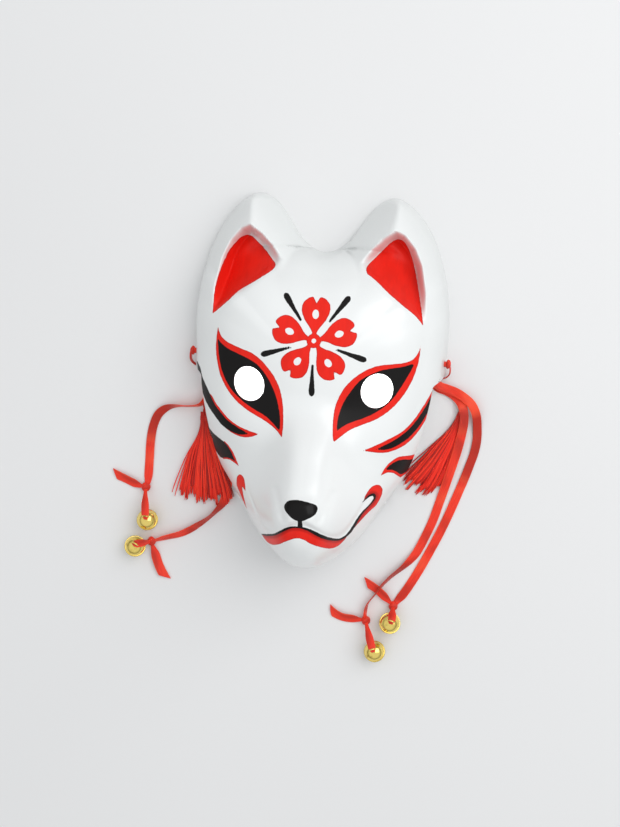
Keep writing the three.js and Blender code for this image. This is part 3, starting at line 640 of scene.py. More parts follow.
def back_points(angle, share):
    """Points of the inside: one wall in from the soft face along its normal, which is the cross
    product of the steps round and outwards. Under a recess they keep one wall below its floor."""
    delta = 0.004
    near = np.clip(share, 6 * delta, 1 - delta)
    points = face_points(angle, share, True)
    outwards = face_points(angle, near + delta, True) - face_points(angle, near - delta, True)
    around = face_points(angle + delta, near, True) - face_points(angle - delta, near, True)
    normal = unit(np.cross(around, outwards))
    on_rim = (share == 1) & (points[..., 2] < WALL)
    normal[on_rim, 2] = 0
    points = points - WALL * unit(normal)
    points[on_rim, 2] = 0
    u, v = np.abs(points[..., 0]) / HALF_WIDTH, points[..., 1] / HALF_LENGTH
    roof, floor = ear_heights(u, v, False)
    dip = 1 - smooth_step(-EAR_RECESS_DRAFT, 0, recess_distance(u, v) - WALL)
    under = roof + (floor - roof) * dip - WALL
    lowered = np.minimum(points[..., 2], under)
    points[..., 2] = np.maximum(np.where((dip > 0) & ~on_rim, lowered, points[..., 2]), 0)
    return points


def spread(count, start, end, density):
    """Values from start to end whose spacing is inverse to a density."""
    fine = np.linspace(start, end, 4001)
    total = np.concatenate([[0], np.cumsum(density((fine[1:] + fine[:-1]) / 2))])
    return np.interp(np.linspace(0, total[-1], count), total, fine)


def ray_density(angle):
    """Rays are closer together at the ears, at the start of the scallop and at the muzzle."""
    side = np.degrees(np.abs(angle))
    at_ear = smooth_step(8, 18, side) * (1 - smooth_step(52, 62, side))
    at_scallop = smooth_step(84, 89, side) * (1 - smooth_step(96, 101, side))
    return 1 + 0.9 * at_ear + 0.8 * at_scallop + 1.6 * smooth_step(138, 152, side)


def ring_density(share):
    """Rings are closer together where the marks on the muzzle and the ears' edges are."""
    return 1 + 0.9 * smooth_step(0.3, 0.45, share)


def signed_volume(vertices, triangles):
    """Volume inside closed triangles, negative if they face inwards."""
    a, b, c = vertices[triangles[:, 0]], vertices[triangles[:, 1]], vertices[triangles[:, 2]]
    return np.einsum("ij,ij->", a, np.cross(b, c)) / 6


def outward(vertices, quads, triangles):
    """The same closed surface with its faces turned so that they look outwards."""
    halves = np.concatenate([quads[:, [0, 1, 2]], quads[:, [0, 2, 3]], triangles])
    if signed_volume(vertices - vertices.mean(0), halves) < 0:
        return vertices, quads[:, ::-1], triangles[:, ::-1]
    return vertices, quads, triangles


def closed_tube(grid, poles=None):
    """Vertices, quads and triangles of a grid that wraps round its second parameter. A fan to a
    pole closes each end, and the faces are turned so that they look outwards."""
    rows, columns = grid.shape[:2]
    if poles is None:
        poles = grid[0].mean(0), grid[-1].mean(0)
    vertices = np.concatenate([grid.reshape(-1, 3), np.array(poles)])
    row, column = np.meshgrid(np.arange(rows - 1) * columns, np.arange(columns), indexing="ij")
    after = (column + 1) % columns
    corners = [row + column, row + after, row + columns + after, row + columns + column]
    quads = np.stack(corners, -1).reshape(-1, 4)
    around = np.arange(columns)
    beyond = (around + 1) % columns
    last_row = (rows - 1) * columns
    first_pole = np.full(columns, rows * columns)
    triangles = np.concatenate([
        np.stack([first_pole, beyond, around], -1),
        np.stack([first_pole + 1, last_row + around, last_row + beyond], -1),
    ])
    return outward(vertices, quads, triangles)


def joined(parts):
    """Several sets of vertices, quads and triangles as one."""
    starts = np.cumsum([0] + [len(vertices) for vertices, _, _ in parts])
    return (
        np.concatenate([vertices for vertices, _, _ in parts]),
        np.concatenate([quads + start for (_, quads, _), start in zip(parts, starts)]),
        np.concatenate([triangles + start for (_, _, triangles), start in zip(parts, starts)]),
    )


def mesh_object(name, vertices, quads, triangles):
    """A smooth mesh object from arrays in metres."""
    mesh = bpy.data.meshes.new(name)
    corners = np.concatenate([np.ravel(quads), np.ravel(triangles)]).astype(np.int32)
    quad_starts = np.arange(len(quads)) * 4
    triangle_starts = 4 * len(quads) + np.arange(len(triangles)) * 3
    starts = np.concatenate([quad_starts, triangle_starts]).astype(np.int32)
    mesh.vertices.add(len(vertices))
    mesh.vertices.foreach_set("co", np.asarray(vertices, np.float32).ravel())
    mesh.loops.add(len(corners))
    mesh.loops.foreach_set("vertex_index", corners)
    mesh.polygons.add(len(starts))
    mesh.polygons.foreach_set("loop_start", starts)
    mesh.update(calc_edges=True)
    mesh.shade_smooth()
    piece = bpy.data.objects.new(name, mesh)
    bpy.context.scene.collection.objects.link(piece)
    return piece


def set_attribute(piece, name, values, kind="FLOAT"):
    """A value or vector for each vertex, which a material reads."""
    attribute = piece.data.attributes.new(name, kind, "POINT")
    field = "value" if kind == "FLOAT" else "vector"
    attribute.data.foreach_set(field, np.asarray(values, np.float32).ravel())


def vertex_points(piece):
    """The vertices of a piece as an array."""
    points = np.empty(len(piece.data.vertices) * 3, np.float32)
    piece.data.vertices.foreach_get("co", points)
    return points.reshape(-1, 3).astype(float)


def sharpen(piece, degrees):
    """Edges that bend by more than this are drawn sharp."""
    piece.data.set_sharp_from_angle(angle=math.radians(degrees))


def cut(piece, cutter):
    """Takes the cutter's space out of the piece, and removes the cutter."""
    modifier = piece.modifiers.new("cut", "BOOLEAN")
    modifier.operation = "DIFFERENCE"
    modifier.solver = "EXACT"
    modifier.object = cutter
    graph = bpy.context.evaluated_depsgraph_get()
    mesh = bpy.data.meshes.new_from_object(piece.evaluated_get(graph))
    piece.modifiers.clear()
    old = piece.data
    piece.data = mesh
    bpy.data.meshes.remove(old)
    mesh.name = piece.name
    bpy.data.objects.remove(cutter)
    mesh.shade_smooth()


def dress(piece, material, slot, *nodes):
    """The piece takes its material, rides on the body and stands for its CAD nodes. The slot is not used.
    """
    piece.data.materials.clear()
    piece.data.materials.append(material)
    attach(piece, BODY)
    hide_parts(*nodes)


def full_turn(count, first=0.0):
    """Angles spaced evenly round a circle."""
    return (np.arange(count) + first) * 2 * np.pi / count


def lengths(path):
    """Length along a path up to each of its points."""
    return np.concatenate([[0], np.cumsum(np.linalg.norm(np.diff(path, axis=0), axis=1))])


def smooth_line(points, per_span):
    """An open line that is smooth through its points: a cubic over each span whose slopes are
    those between the neighbours, measured along the chords."""
    points = np.array(points, float)
    if len(points) == 2:
        return points
    chord = lengths(points)
    slopes = np.empty_like(points)
    slopes[1:-1] = (points[2:] - points[:-2]) / (chord[2:] - chord[:-2])[:, None]
    slopes[0] = 2 * (points[1] - points[0]) / (chord[1] - chord[0]) - slopes[1]
    slopes[-1] = 2 * (points[-1] - points[-2]) / (chord[-1] - chord[-2]) - slopes[-2]
    span = np.diff(chord)[:, None, None]
    t = (np.arange(per_span) / per_span)[None, :, None]
    line = cubic(
        t, points[:-1, None], points[1:, None], span * slopes[:-1, None], span * slopes[1:, None])
    return np.concatenate([line.reshape(-1, points.shape[1]), points[-1:]])


def even_line(points, step):
    """The smooth line through some points, with its own points an even step apart."""
    fine = smooth_line(points, 24)
    along = lengths(fine)
    count = max(int(round(along[-1] / step)), 4)
    wanted = np.linspace(0, along[-1], count + 1)
    return np.stack([np.interp(wanted, along, fine[:, i]) for i in range(fine.shape[1])], -1)


def mark_outline(lines):
    """The closed outline of a painted mark."""
    return np.concatenate([smooth_line(line, 5)[:-1] for line in lines])


def turned(points, angle):
    """Plan points turned about the origin."""
    c, s = math.cos(angle), math.sin(angle)
    x, y = np.array(points, float).T
    return np.stack([x * c - y * s, x * s + y * c], -1)


def mirrored_outline(side, notch=None):
    """A closed outline from one side of a shape that lies along +X."""
    upper = [tuple(p) for p in smooth_line(side, 6)]
    tip = [notch] if notch else []
    lower = [(x, -y) for x, y in reversed(upper)]
    return np.array(upper + tip + lower)


def disc(middle, width, length, sides=28):
    """Plan points round an oval."""
    turn = full_turn(sides)
    return np.stack([middle[0] + width * np.cos(turn), middle[1] + length * np.sin(turn)], -1)


def blossom_outlines():
    """Outlines of the blossom on the forehead: red petals and heart, pale dots and black strokes."""
    red, pale, black = [disc((0, 0), BLOSSOM_HEART, BLOSSOM_HEART)], [], []
    pale.append(disc((0, 0), HEART_DOT, HEART_DOT))
    for petal in range(BLOSSOM_PETALS):
        angle = math.pi / 2 + petal * 2 * math.pi / BLOSSOM_PETALS
        between = angle + math.pi / BLOSSOM_PETALS
        along, length, width = PETAL_DOT
        red.append(turned(mirrored_outline(PETAL_SIDE, PETAL_NOTCH), angle))
        pale.append(turned(disc((along, 0), length, width), angle))
        black.append(turned(mirrored_outline(STROKE_SIDE), between))
    return [[outline + BLOSSOM_MIDDLE for outline in group] for group in (red, pale, black)]


def depth_in(x, y, outlines):
    """How deep each point lies inside the nearest of some outlines, in mm; negative outside. Only
    the points near an outline are measured."""
    depth = np.full(x.shape, -FAR)
    margin = 6.0
    for outline in outlines:
        low, high = outline.min(0) - margin, outline.max(0) + margin
        near = np.nonzero((x > low[0]) & (x < high[0]) & (y > low[1]) & (y < high[1]))[0]
        depth[near] = np.maximum(depth[near], -outline_distance(x[near], y[near], outline))
    return depth


def line_offset(x, y, line):
    """For each point, its signed distance across an open line, its plain distance from it, and the
    line's half width there."""
    across = np.full(x.shape, FAR)
    nearest = np.full(x.shape, FAR)
    half = np.zeros(x.shape)
    for (ax, ay, aw), (bx, by, bw) in zip(line[:-1], line[1:]):
        distance, t = segment_distance(x, y, (ax, ay), (bx, by))
        closer = distance < nearest
        side = np.sign((bx - ax) * (y - ay) - (by - ay) * (x - ax))
        across = np.where(closer, side * distance, across)
        half = np.where(closer, aw + t * (bw - aw), half)
        nearest = np.minimum(nearest, distance)
    return across, nearest, half


def paint_marks(shell, groove):
    """Gives the shell's vertices their depth in the red, black and pale marks, and their place
    across the mouth's line. The inside of the shell has none."""
    points = vertex_points(shell) / MM
    x, y, z = points.T
    is_face = z > face_height(x / HALF_WIDTH, y / HALF_LENGTH, False, groove) - WALL / 2
    petals, dots, strokes = blossom_outlines()
    red = [mark_outline(lines) for lines in RED_MARKS.values()] + petals
    black = [mark_outline(lines) for lines in BLACK_MARKS.values()] + strokes
    for name, outlines in (("red_depth", red), ("black_depth", black), ("dot_depth", dots)):
        set_attribute(shell, name, np.where(is_face, depth_in(x, y, outlines), -FAR))
    nose = depth_in(x, y, [mark_outline(BLACK_MARKS["nose"])])
    set_attribute(shell, "nose_depth", np.where(is_face, nose, -FAR))
    across, nearest, half = line_offset(x, y, smooth_line(MOUTH_LINE, 6))
    set_attribute(shell, "line_across", across)
    set_attribute(shell, "line_near", np.where(is_face, nearest, FAR))
    set_attribute(shell, "line_half", half)


class Finish:
    """A material and short ways to add its nodes."""

    def __init__(self, name, sockets):
        self.material = bpy.data.materials.new(name)
        self.material.use_nodes = True
        self.nodes = self.material.node_tree.nodes
        self.links = self.material.node_tree.links
        self.shader = self.nodes["Principled BSDF"]
        for socket, value in sockets.items():
            self.shader.inputs[socket].default_value = value

    def put(self, node, socket, value):
        """Sets a node's socket, or joins another node's output to it."""
        if isinstance(value, bpy.types.NodeSocket):
            self.links.new(value, node.inputs[socket])
        else:
            node.inputs[socket].default_value = value

    def add(self, kind, settings=None, **sockets):
        """A node of a kind, with its settings and its sockets, which are named with _ for a space."""
        node = self.nodes.new("ShaderNode" + kind)
        for name, value in (settings or {}).items():
            setattr(node, name, value)
        for name, value in sockets.items():
            self.put(node, name.replace("_", " "), value)
        return node

    def math(self, operation, first, second=0.0):
        node = self.add("Math", {"operation": operation})
        self.put(node, 0, first)
        self.put(node, 1, second)
        return node.outputs[0]

    def plus(self, first, second):
        return self.math("ADD", first, second)

    def minus(self, first, second):
        return self.math("SUBTRACT", first, second)

    def times(self, first, second):
        return self.math("MULTIPLY", first, second)

    def larger(self, first, second):
        return self.math("MAXIMUM", first, second)

    def wave(self, value, length):
        """The sine of a value, which comes round once in a length."""
        return self.math("SINE", self.times(value, 2 * math.pi / length))

    def step(self, value, start, end, low=0.0, high=1.0):
        """Eases from low to high as a value runs from start to end."""
        ends = {"From_Min": start, "From_Max": end, "To_Min": low, "To_Max": high}
        return self.add("MapRange", {"interpolation_type": "SMOOTHSTEP"}, Value=value, **ends).outputs[0]

    def mix(self, share, first, second):
        """A mix of two colours, through the sockets that a Mix node has for them."""
        node = self.add("Mix", {"data_type": "RGBA"})
        for socket, value in ((0, share), (6, first), (7, second)):
            self.put(node, socket, value)
        return node.outputs[2]

    def noise(self, place, scale, detail=3.0):
        return self.add(
            "TexNoise", None, Vector=place, Scale=scale, Detail=detail, Roughness=0.55).outputs[0]

    def stretched(self, place, scale, turn=0.0):
        """A place that is scaled along its axes and then turned about the third."""
        return self.add("Mapping", None, Vector=place, Rotation=(0, 0, turn), Scale=scale).outputs[0]

    def attribute(self, name, output="Fac"):
        return self.add("Attribute", {"attribute_name": name}).outputs[output]

    def place(self):
        return self.add("TexCoord").outputs["Object"]

    def parts(self, vector):
        """The three parts of a vector."""
        return self.add("SeparateXYZ", None, Vector=vector).outputs

    def bump(self, height, distance, strength=1.0, below=None):
        node = self.add("Bump", None, Height=height, Distance=distance, Strength=strength)
        if below is not None:
            self.put(node, "Normal", below)
        return node.outputs[0]

    def shade(self, socket, value):
        self.put(self.shader, socket, value)


def shaded(colour, *gains):
    """A colour whose red, green and blue are multiplied by gains and held at 1."""
    return [min(1.0, part * gain) for part, gain in zip(colour, gains)] + [1.0]


def lacquer_finish(colours):
    """White lacquer with a faint orange peel and brushed marks: the paint's edges follow the depths
    that the mesh carries, made uneven by noise, and each coat stands a little proud."""
    f = Finish("painted_lacquer", {"IOR": 1.48})
    place = f.place()
    wobble = f.times(f.minus(f.noise(place, 420.0, 2.0), 0.5), 0.55)

    def painted(depth):
        """1 where a depth in mm lies inside a mark and 0 outside, over a brush's uneven edge."""
        return f.step(f.plus(depth, wobble), -PAINT_EDGE, PAINT_EDGE)

    red_depth = f.attribute("red_depth")
    red = f.times(painted(red_depth), f.minus(1.0, painted(f.attribute("dot_depth"))))
    half, from_line = f.attribute("line_half"), f.attribute("line_near")
    inked = f.minus(half, f.math("ABSOLUTE", f.attribute("line_across")))
    within_ends = f.step(f.minus(f.plus(half, 0.5), from_line), -0.2, 0.2)
    black = f.larger(painted(f.attribute("black_depth")), f.times(painted(inked), within_ends))
    strokes = f.noise(f.stretched(place, (260, 60, 60), 0.5), 1.0)
    edge = f.step(f.plus(red_depth, wobble), 0.1, 0.75, 0.62, 0.0)
    thin = f.step(strokes, 0.35, 0.7, high=0.16)
    red_colour = f.mix(f.plus(edge, thin), colours.red_paint, colours.red_edge_and_groove_shade)
    # Painted shade of the groove: the lips' red darkens beside the mouth's line.
    red_colour = f.mix(f.step(from_line, 3.2, 1.2, high=0.8), red_colour, colours.red_edge_and_groove_shade)
    faint = f.times(f.noise(place, 26.0, 2.0), 0.05)
    # Painted shade: the white greys towards the rim, where the shell lies low.
    rim_shade = f.step(f.parts(place)[2], 0.05, 0.004, high=0.5)
    white = f.mix(f.plus(faint, rim_shade), colours.lacquer, RIM_SHADE_GREY)
    f.shade("Base Color", f.mix(black, f.mix(red, white, red_colour), colours.black_paint))
    marks = f.larger(red, black)
    f.shade("Specular IOR Level", f.step(marks, 0.0, 1.0, 0.5, 0.14))
    f.shade("Coat Weight", f.step(marks, 0.0, 1.0, 0.5, 0.04))
    rough = f.plus(f.plus(f.times(f.noise(place, 90.0), 0.1), 0.27), f.times(marks, 0.1))
    f.shade("Roughness", f.minus(rough, f.step(f.attribute("nose_depth"), -0.2, 0.2, high=0.16)))
    f.shade("Coat Roughness", f.plus(f.times(f.noise(place, 60.0), 0.1), 0.12))
    peel = f.bump(f.noise(place, 300.0, 2.0), 0.00012, 0.35)
    waves = f.bump(f.noise(place, 38.0, 2.0), 0.0012, 0.22, peel)
    coat = f.plus(marks, f.times(strokes, f.times(marks, 0.6)))
    f.shade("Normal", f.bump(coat, 0.00012, 0.6, waves))
    return f.material


def satin_finish(colours):
    """Satin ribbon: fine threads along it, a faint rib across, a tight selvedge on each side and a
    sheen, with painted sheen in light and dark patches and a painted highlight along each selvedge.
    It reads each vertex's place along and across the ribbon, and where it has painted shade."""
    f = Finish("satin_ribbon", {"Sheen Weight": 0.08, "Sheen Roughness": 0.4, "Specular IOR Level": 0.3})
    lay = f.attribute("lay", "Vector")
    # The third part of the lay is how much painted shade a stretch of ribbon has.
    along, across, back = f.parts(lay)
    selvedge = f.step(f.math("ABSOLUTE", across), 0.00225, 0.0026)
    streaks = f.noise(f.stretched(lay, (110, 1500, 1)), 1.0)
    waves = f.noise(f.stretched(lay, (34, 60, 1)), 1.0, 1.0)
    deep = shaded(colours.ribbon, 0.5, 0.5, 0.5)
    bright = shaded(colours.ribbon, 1.12, 2.6, 2.2)
    colour = f.mix(f.step(streaks, 0.6, 0.3, high=0.35), colours.ribbon, deep)
    # Painted sheen: slow patches make the ribbon darker and lighter, as its sheen would.
    colour = f.mix(f.step(waves, 0.5, 0.36, high=0.7), colour, deep)
    colour = f.mix(f.step(waves, 0.5, 0.66, high=0.5), colour, bright)
    # Painted highlight: a pale line along each selvedge.
    colour = f.mix(f.times(selvedge, 0.4), colour, bright)
    # Painted shade darkens the ribbon where it turns from the light.
    painted_shade_colour = shaded(colours.ribbon, 0.42, 0.42, 0.42)
    f.shade("Base Color", f.mix(f.times(back, 0.75), colour, painted_shade_colour))
    f.shade("Roughness", f.plus(f.times(streaks, 0.16), 0.3))
    weave = f.plus(f.times(f.wave(across, 0.00034), 0.6), f.times(f.wave(along, 0.00042), 0.3))
    weave = f.plus(weave, f.times(selvedge, 1.2))
    creases = f.bump(f.noise(f.place(), 120.0, 2.0), 0.0006, 0.35)
    f.shade("Normal", f.bump(weave, 0.00005, 0.6, creases))
    return f.material


def thread_finish(colours):
    """Silk thread: each thread has its own tone, painted shade makes all darker near the neck, and a
    fine twist runs round each."""
    f = Finish("silk_thread", {"Sheen Weight": 0.06, "Sheen Roughness": 0.45, "Specular IOR Level": 0.3})
    along, around, shade = f.parts(f.attribute("lay", "Vector"))
    twist = f.math("SINE", f.plus(f.times(along, 2 * math.pi / 0.0011), around))
    dark = shaded(colours.thread, 0.4, 0.4, 0.5)
    light = shaded(colours.thread, 1.14, 2.0, 1.6)
    colour = f.mix(f.step(shade, 0.0, 0.5), dark, colours.thread)
    colour = f.mix(f.step(shade, 0.5, 1.0), colour, light)
    # Painted shade where the threads crowd into the neck.
    f.shade("Base Color", f.mix(f.step(along, 0.022, 0.006, high=0.6), colour, dark))
    f.shade("Roughness", f.plus(f.times(f.noise(f.place(), 500.0), 0.2), 0.36))
    f.shade("Normal", f.bump(twist, 0.00006, 0.5))
    return f.material


def brass_finish(colours):
    """Bright thin brass with a light tarnish in patches, painted shade in a band on each side of the seam,
    and fine scratches."""
    f = Finish("bright_brass", {"Metallic": 1.0})
    place = f.place()
    patches = f.noise(place, 180.0)
    scratches = f.noise(f.stretched(place, (2600, 260, 900)), 1.0)
    # Painted shade in a band on each side of the seam, which itself keeps its bright brass.
    by_seam = f.step(f.math("ABSOLUTE", f.attribute("rise")), 0.16, 0.07)
    tarnish_and_seam_shade = f.larger(f.step(patches, 0.52, 0.8), by_seam)
    f.shade("Base Color", f.mix(tarnish_and_seam_shade, colours.brass, shaded(colours.brass, 0.42, 0.33, 0.2)))
    rough = f.plus(f.times(patches, 0.14), 0.07)
    f.shade("Roughness", f.plus(rough, f.times(scratches, 0.06)))
    f.shade("Normal", f.bump(f.plus(patches, f.times(scratches, 0.3)), 0.0002, 0.12))
    return f.material


def floor_finish(colours):
    """A plain pale floor with the faintest grain."""
    f = Finish("pale_floor", {"Roughness": 0.9, "Specular IOR Level": 0.1})
    grain = f.noise(f.place(), 3.0, 1.0)
    f.shade("Base Color", f.mix(grain, colours.floor, shaded(colours.floor, 0.97, 0.97, 0.97)))
    return f.material


def material(name, make):
    """A finish, made the first time that a piece asks for it."""
    return bpy.data.materials.get(name) or make(bpy.context.scene.fox_mask_colours)


def prism(outline, low, high):
    """A closed upright prism over a plan outline, in metres."""
    rings = [np.column_stack([outline, np.full(len(outline), z)]) for z in (low, high)]
    return closed_tube(np.array(rings))


def shell_cutter(sizes):
    """The eye openings and the strap holes as one mesh of four separate prisms."""
    parts = []
    for side in (-1, 1):
        eye = disc((0, 0), sizes.eye_width / 2, sizes.eye_length / 2, 72)
        eye = turned(eye, -side * EYE_TURN) + (side * EYE_X * MM, EYE_Y * MM)
        parts.append(prism(eye, WALL * MM, 1.2 * NOSE_HEIGHT * MM))
        hole = disc((0, 0), sizes.strap_hole / 2, sizes.strap_hole / 2, 32)
        upright, quads, triangles = prism(hole, -HALF_WIDTH * MM / 4, HALF_WIDTH * MM / 4)
        lying = upright[:, [2, 0, 1]]
        parts.append((lying + np.array(STRAP_HOLE) * (side, 1, 1) * MM, quads, triangles))
    return mesh_object("shell_cutter", *joined(parts))


def build_shell(sizes):
    """The shell: rings of the face on rays from its middle, then rings of the inside back to it."""
    groove = sizes.mouth_groove / MM
    angles = spread(SHELL_RAYS + 1, -np.pi, np.pi, ray_density)[:-1]
    shares = spread(FACE_RINGS + 1, 0, 1, ring_density)[1:]
    face = face_points(*np.meshgrid(angles, shares), False, groove)
    shares = np.concatenate([[1], np.linspace(RIM_SHARE, 0, BACK_RINGS)[:-1]])
    back = back_points(*np.meshgrid(angles, shares))
    top = face_height(0.0, MIDDLE, False, groove)
    poles = [(0, MIDDLE * HALF_LENGTH, top), (0, MIDDLE * HALF_LENGTH, top - WALL)]
    vertices, quads, triangles = closed_tube(np.concatenate([face, back]), poles)
    shell = mesh_object("painted_shell", vertices * MM, quads, triangles)
    cut(shell, shell_cutter(sizes))
    sharpen(shell, 66)
    paint_marks(shell, groove)
    return shell


def section_frames(path, roll):
    """Directions across and up at each point of a path: up is as upright as the path lets it be,
    and both are then rolled about the path."""
    tangent = unit(np.gradient(path, axis=0))
    across = unit(np.cross(tangent, (0.0, 0.0, 1.0)))
    up = np.cross(across, tangent)
    c, s = np.cos(roll)[:, None], np.sin(roll)[:, None]
    return across * c + up * s, up * c - across * s


def laid_tube(grid, *lay):
    """A closed tube over a grid, and the lay of its vertices: two places on the surface and a shade,
    each over the grid. A pole takes the mean of its ring."""
    lay = np.stack(np.broadcast_arrays(*lay, grid[..., 0])[:-1], -1)
    poles = [lay[0].mean(0), lay[-1].mean(0)]
    return closed_tube(grid), np.concatenate([lay.reshape(-1, 3), poles])


def laid_piece(name, parts):
    """One object from several laid tubes, with their lay for the material."""
    piece = mesh_object(name, *joined([tube for tube, _ in parts]))
    set_attribute(piece, "lay", np.concatenate([lay for _, lay in parts]), "FLOAT_VECTOR")
    return piece


def ribbon_part(path, low, high, thickness, roll, ripple=0.0, back=0.0):
    """A flat ribbon along a path, from its low to its high edge: the section is an oval squared off
    by small powers of the cosine across and the sine up, and it ripples slightly along its way."""
    across, up = section_frames(path, roll)
    turn = full_turn(RIBBON_SIDES, 0.5)
    wide = np.sign(np.cos(turn)) * np.abs(np.cos(turn)) ** 0.55
    thick = np.sign(np.sin(turn)) * np.abs(np.sin(turn)) ** 0.6
    middle, half = (low + high) / 2, (high - low) / 2
    along = lengths(path)[:, None]
    aside = middle[:, None] + half[:, None] * wide
    rise = thickness / 2 * thick + ripple * np.sin(along * 2 * np.pi / RIPPLE_LENGTH) * wide ** 2
    grid = path[:, None] + aside[..., None] * across[:, None] + rise[..., None] * up[:, None]
    # back is the share of painted shade along the ribbon, carried in the lay.
    return laid_tube(grid, along, aside, np.reshape(back, (-1, 1)))


def knot_place(name):
    """The middle of the knot at a ribbon's end."""
    return np.array([*RIBBON_ENDS[name]["knot"], KNOT_HEIGHT / 2 + GAP])


def ribbon_path(name, width):
    """The smooth route of a ribbon, its roll and where it has painted shade. It runs on into its knot,
    and is lifted where the roll stands it on edge."""
    points = np.array([(*point, RIBBON_LIES)[:3] for point in RIBBON_ROUTES[name]])
    into_knot = points[-1] + 0.55 * (knot_place(name) - points[-1])
    points = np.concatenate([points, [into_knot]])
    chords = lengths(points)
    path = even_line(points, 0.0015)
    along = np.linspace(0, chords[-1], len(path))
    places, degrees = np.array(RIBBON_ROLLS[name], float).T
    roll = np.radians(np.interp(along, chords[places.astype(int)], degrees))
    roll = np.convolve(np.pad(roll, 4, mode="edge"), np.ones(9) / 9, mode="valid")
    path[:, 2] = np.maximum(path[:, 2], width / 2 * np.abs(np.sin(roll)) + 0.0005)
    # The share of painted shade along the ribbon, which rises and falls over each listed stretch.
    back = np.zeros(len(path))
    for first, last in RIBBON_SHADED_STRETCHES[name]:
        back += smooth_step(chords[first] - 0.004, chords[first] + 0.004, along)
        back -= smooth_step(chords[last] - 0.008, chords[last] + 0.008, along)
    return path, roll, back


def build_ribbon(name, sizes):
    """One ribbon, gathered where it enters its knot."""
    path, roll, back = ribbon_path(name, sizes.ribbon_width)
    gathered = 0.35 * smooth_step(len(path) - 6, len(path) - 1, np.arange(len(path)))
    half = sizes.ribbon_width / 2 * (1 - gathered)
    part = ribbon_part(path, -half, half, sizes.ribbon_thickness, roll, RIPPLE, back)
    piece = laid_piece("satin_" + name, [part])
    dress(piece, material("satin_ribbon", satin_finish), "ribbon", "ribbon_" + name)
    return piece, path


def folded_knot(middle, size, axis_turn, wraps=3):
    """A pulled-tight knot of ribbon: a ball whose radius swells in slanting folds, 1 plus 0.1 times
    the sine of the longitude and latitude taken together, with a waist under the last wrap."""
    longitude, latitude = np.meshgrid(full_turn(36), np.linspace(-np.pi / 2, np.pi / 2, 24)[1:-1])
    fold = 0.1 * np.sin(wraps * longitude + 5 * latitude) + 0.05 * np.sin(7 * latitude + longitude)
    radius = 0.5 * (1 + fold * np.cos(latitude))
    x = radius * np.cos(latitude) * np.cos(longitude) * size[0]
    y = radius * np.cos(latitude) * np.sin(longitude) * size[1]
    z = radius * np.sin(latitude) * size[2]
    c, s = math.cos(axis_turn), math.sin(axis_turn)
    grid = np.stack([x * c - y * s, x * s + y * c, z], -1) + middle
    return laid_tube(grid, longitude * 0.003, latitude * 0.0015, 0.0)


def cut_tail(knot, ends, sizes):
    """The tail beyond a knot: it widens from the knot, rolls to and fro, and ends in a slanting cut."""
    tail = even_line([knot, *ends["tail"]], 0.001)
    share = np.linspace(0, 1, len(tail))
    half = sizes.ribbon_width / 2 * (0.34 + 0.72 * smooth_step(0.04, 0.38, share))
    slant = np.clip((share - 0.8) / 0.2, 0, 1)
    low, high = -half, half * (1 - 1.9 * slant)
    if ends["cut"] < 0:
        low, high = -high, -low
    roll = 0.35 * np.sin(share * 3.0)
    tail[:, 2] = np.maximum(tail[:, 2], half * np.abs(np.sin(roll)) + 0.0006)
    return ribbon_part(tail, low, high, sizes.ribbon_thickness, roll, RIPPLE)


def bell_axis(lean):
    """The direction from a bell's middle to its loop."""
    tilt = math.sin(BELL_TILT)
    return np.array([tilt * math.cos(lean), tilt * math.sin(lean), math.cos(BELL_TILT)])


def bell_neck(knot, ends, sizes):
    """The ribbon from a knot up to its bell's loop, through the loop and down on its far side."""
    bell = np.array([*ends["bell"], BELL_CENTRE_HEIGHT])
    axis = bell_axis(ends["lean"])
    loop = bell + axis * (sizes.bell_diameter / 2 + BELL_LOOP / 2 - BELL_LOOP_WIRE)
    towards = unit(np.array([*(bell - knot)[:2], 0.0]))
    before = loop - towards * 0.0022 - axis * 0.0002
    course = [
        knot + (0, 0, 0.0008), knot * 0.55 + before * 0.45 + (0, 0, 0.0016), before,
        loop + axis * 0.0004, loop + towards * 0.0016 - axis * 0.0011,
    ]
    neck = even_line(course, 0.0006)
    share = np.linspace(0, 1, len(neck))
    half = sizes.ribbon_width / 2 * (0.4 + 0.5 * smooth_step(0.1, 0.6, share))
    half = half * (1 - 0.5 * smooth_step(0.8, 1.0, share))
    return ribbon_part(neck, -half, half, sizes.ribbon_thickness, np.zeros(len(neck)))


def build_tie(name, sizes):
    """The knot over a bell, the cut tail of the ribbon, and its neck to the bell's loop."""
    ends = RIBBON_ENDS[name]
    knot = knot_place(name)
    parts = [
        folded_knot(knot, (KNOT_WIDTH, KNOT_WIDTH, KNOT_HEIGHT), ends["lean"]),
        cut_tail(knot, ends, sizes),
        bell_neck(knot, ends, sizes),
    ]
    piece = laid_piece("tied_" + name, parts)
    dress(piece, material("satin_ribbon", satin_finish), "ribbon", "tie_" + name)
    return piece


def bell_profile(radius, inner):
    """Half sections of a bell's outside and inside, from pole to pole: two half balls whose lips are
    rolled outwards to meet at the seam, and a plain ball."""
    lip = BELL_SEAM
    rise = np.linspace(-np.pi / 2, -0.17, 26)
    lower = np.stack([radius * np.cos(rise), radius * np.sin(rise)], -1)
    bead = np.linspace(-np.pi * 0.62, np.pi * 0.46, 9)
    lower_lip = np.stack([radius + lip * (0.15 + 0.85 * np.cos(bead)), lip * (np.sin(bead) - 1.05)], -1)
    half = np.concatenate([lower, lower_lip])
    outer = np.concatenate([half, half[::-1] * (1, -1)])
    back = np.linspace(np.pi / 2, -np.pi / 2, 30)
    inside = np.stack([inner * np.cos(back), inner * np.sin(back)], -1)
    return outer[1:-1], inside[1:-1]


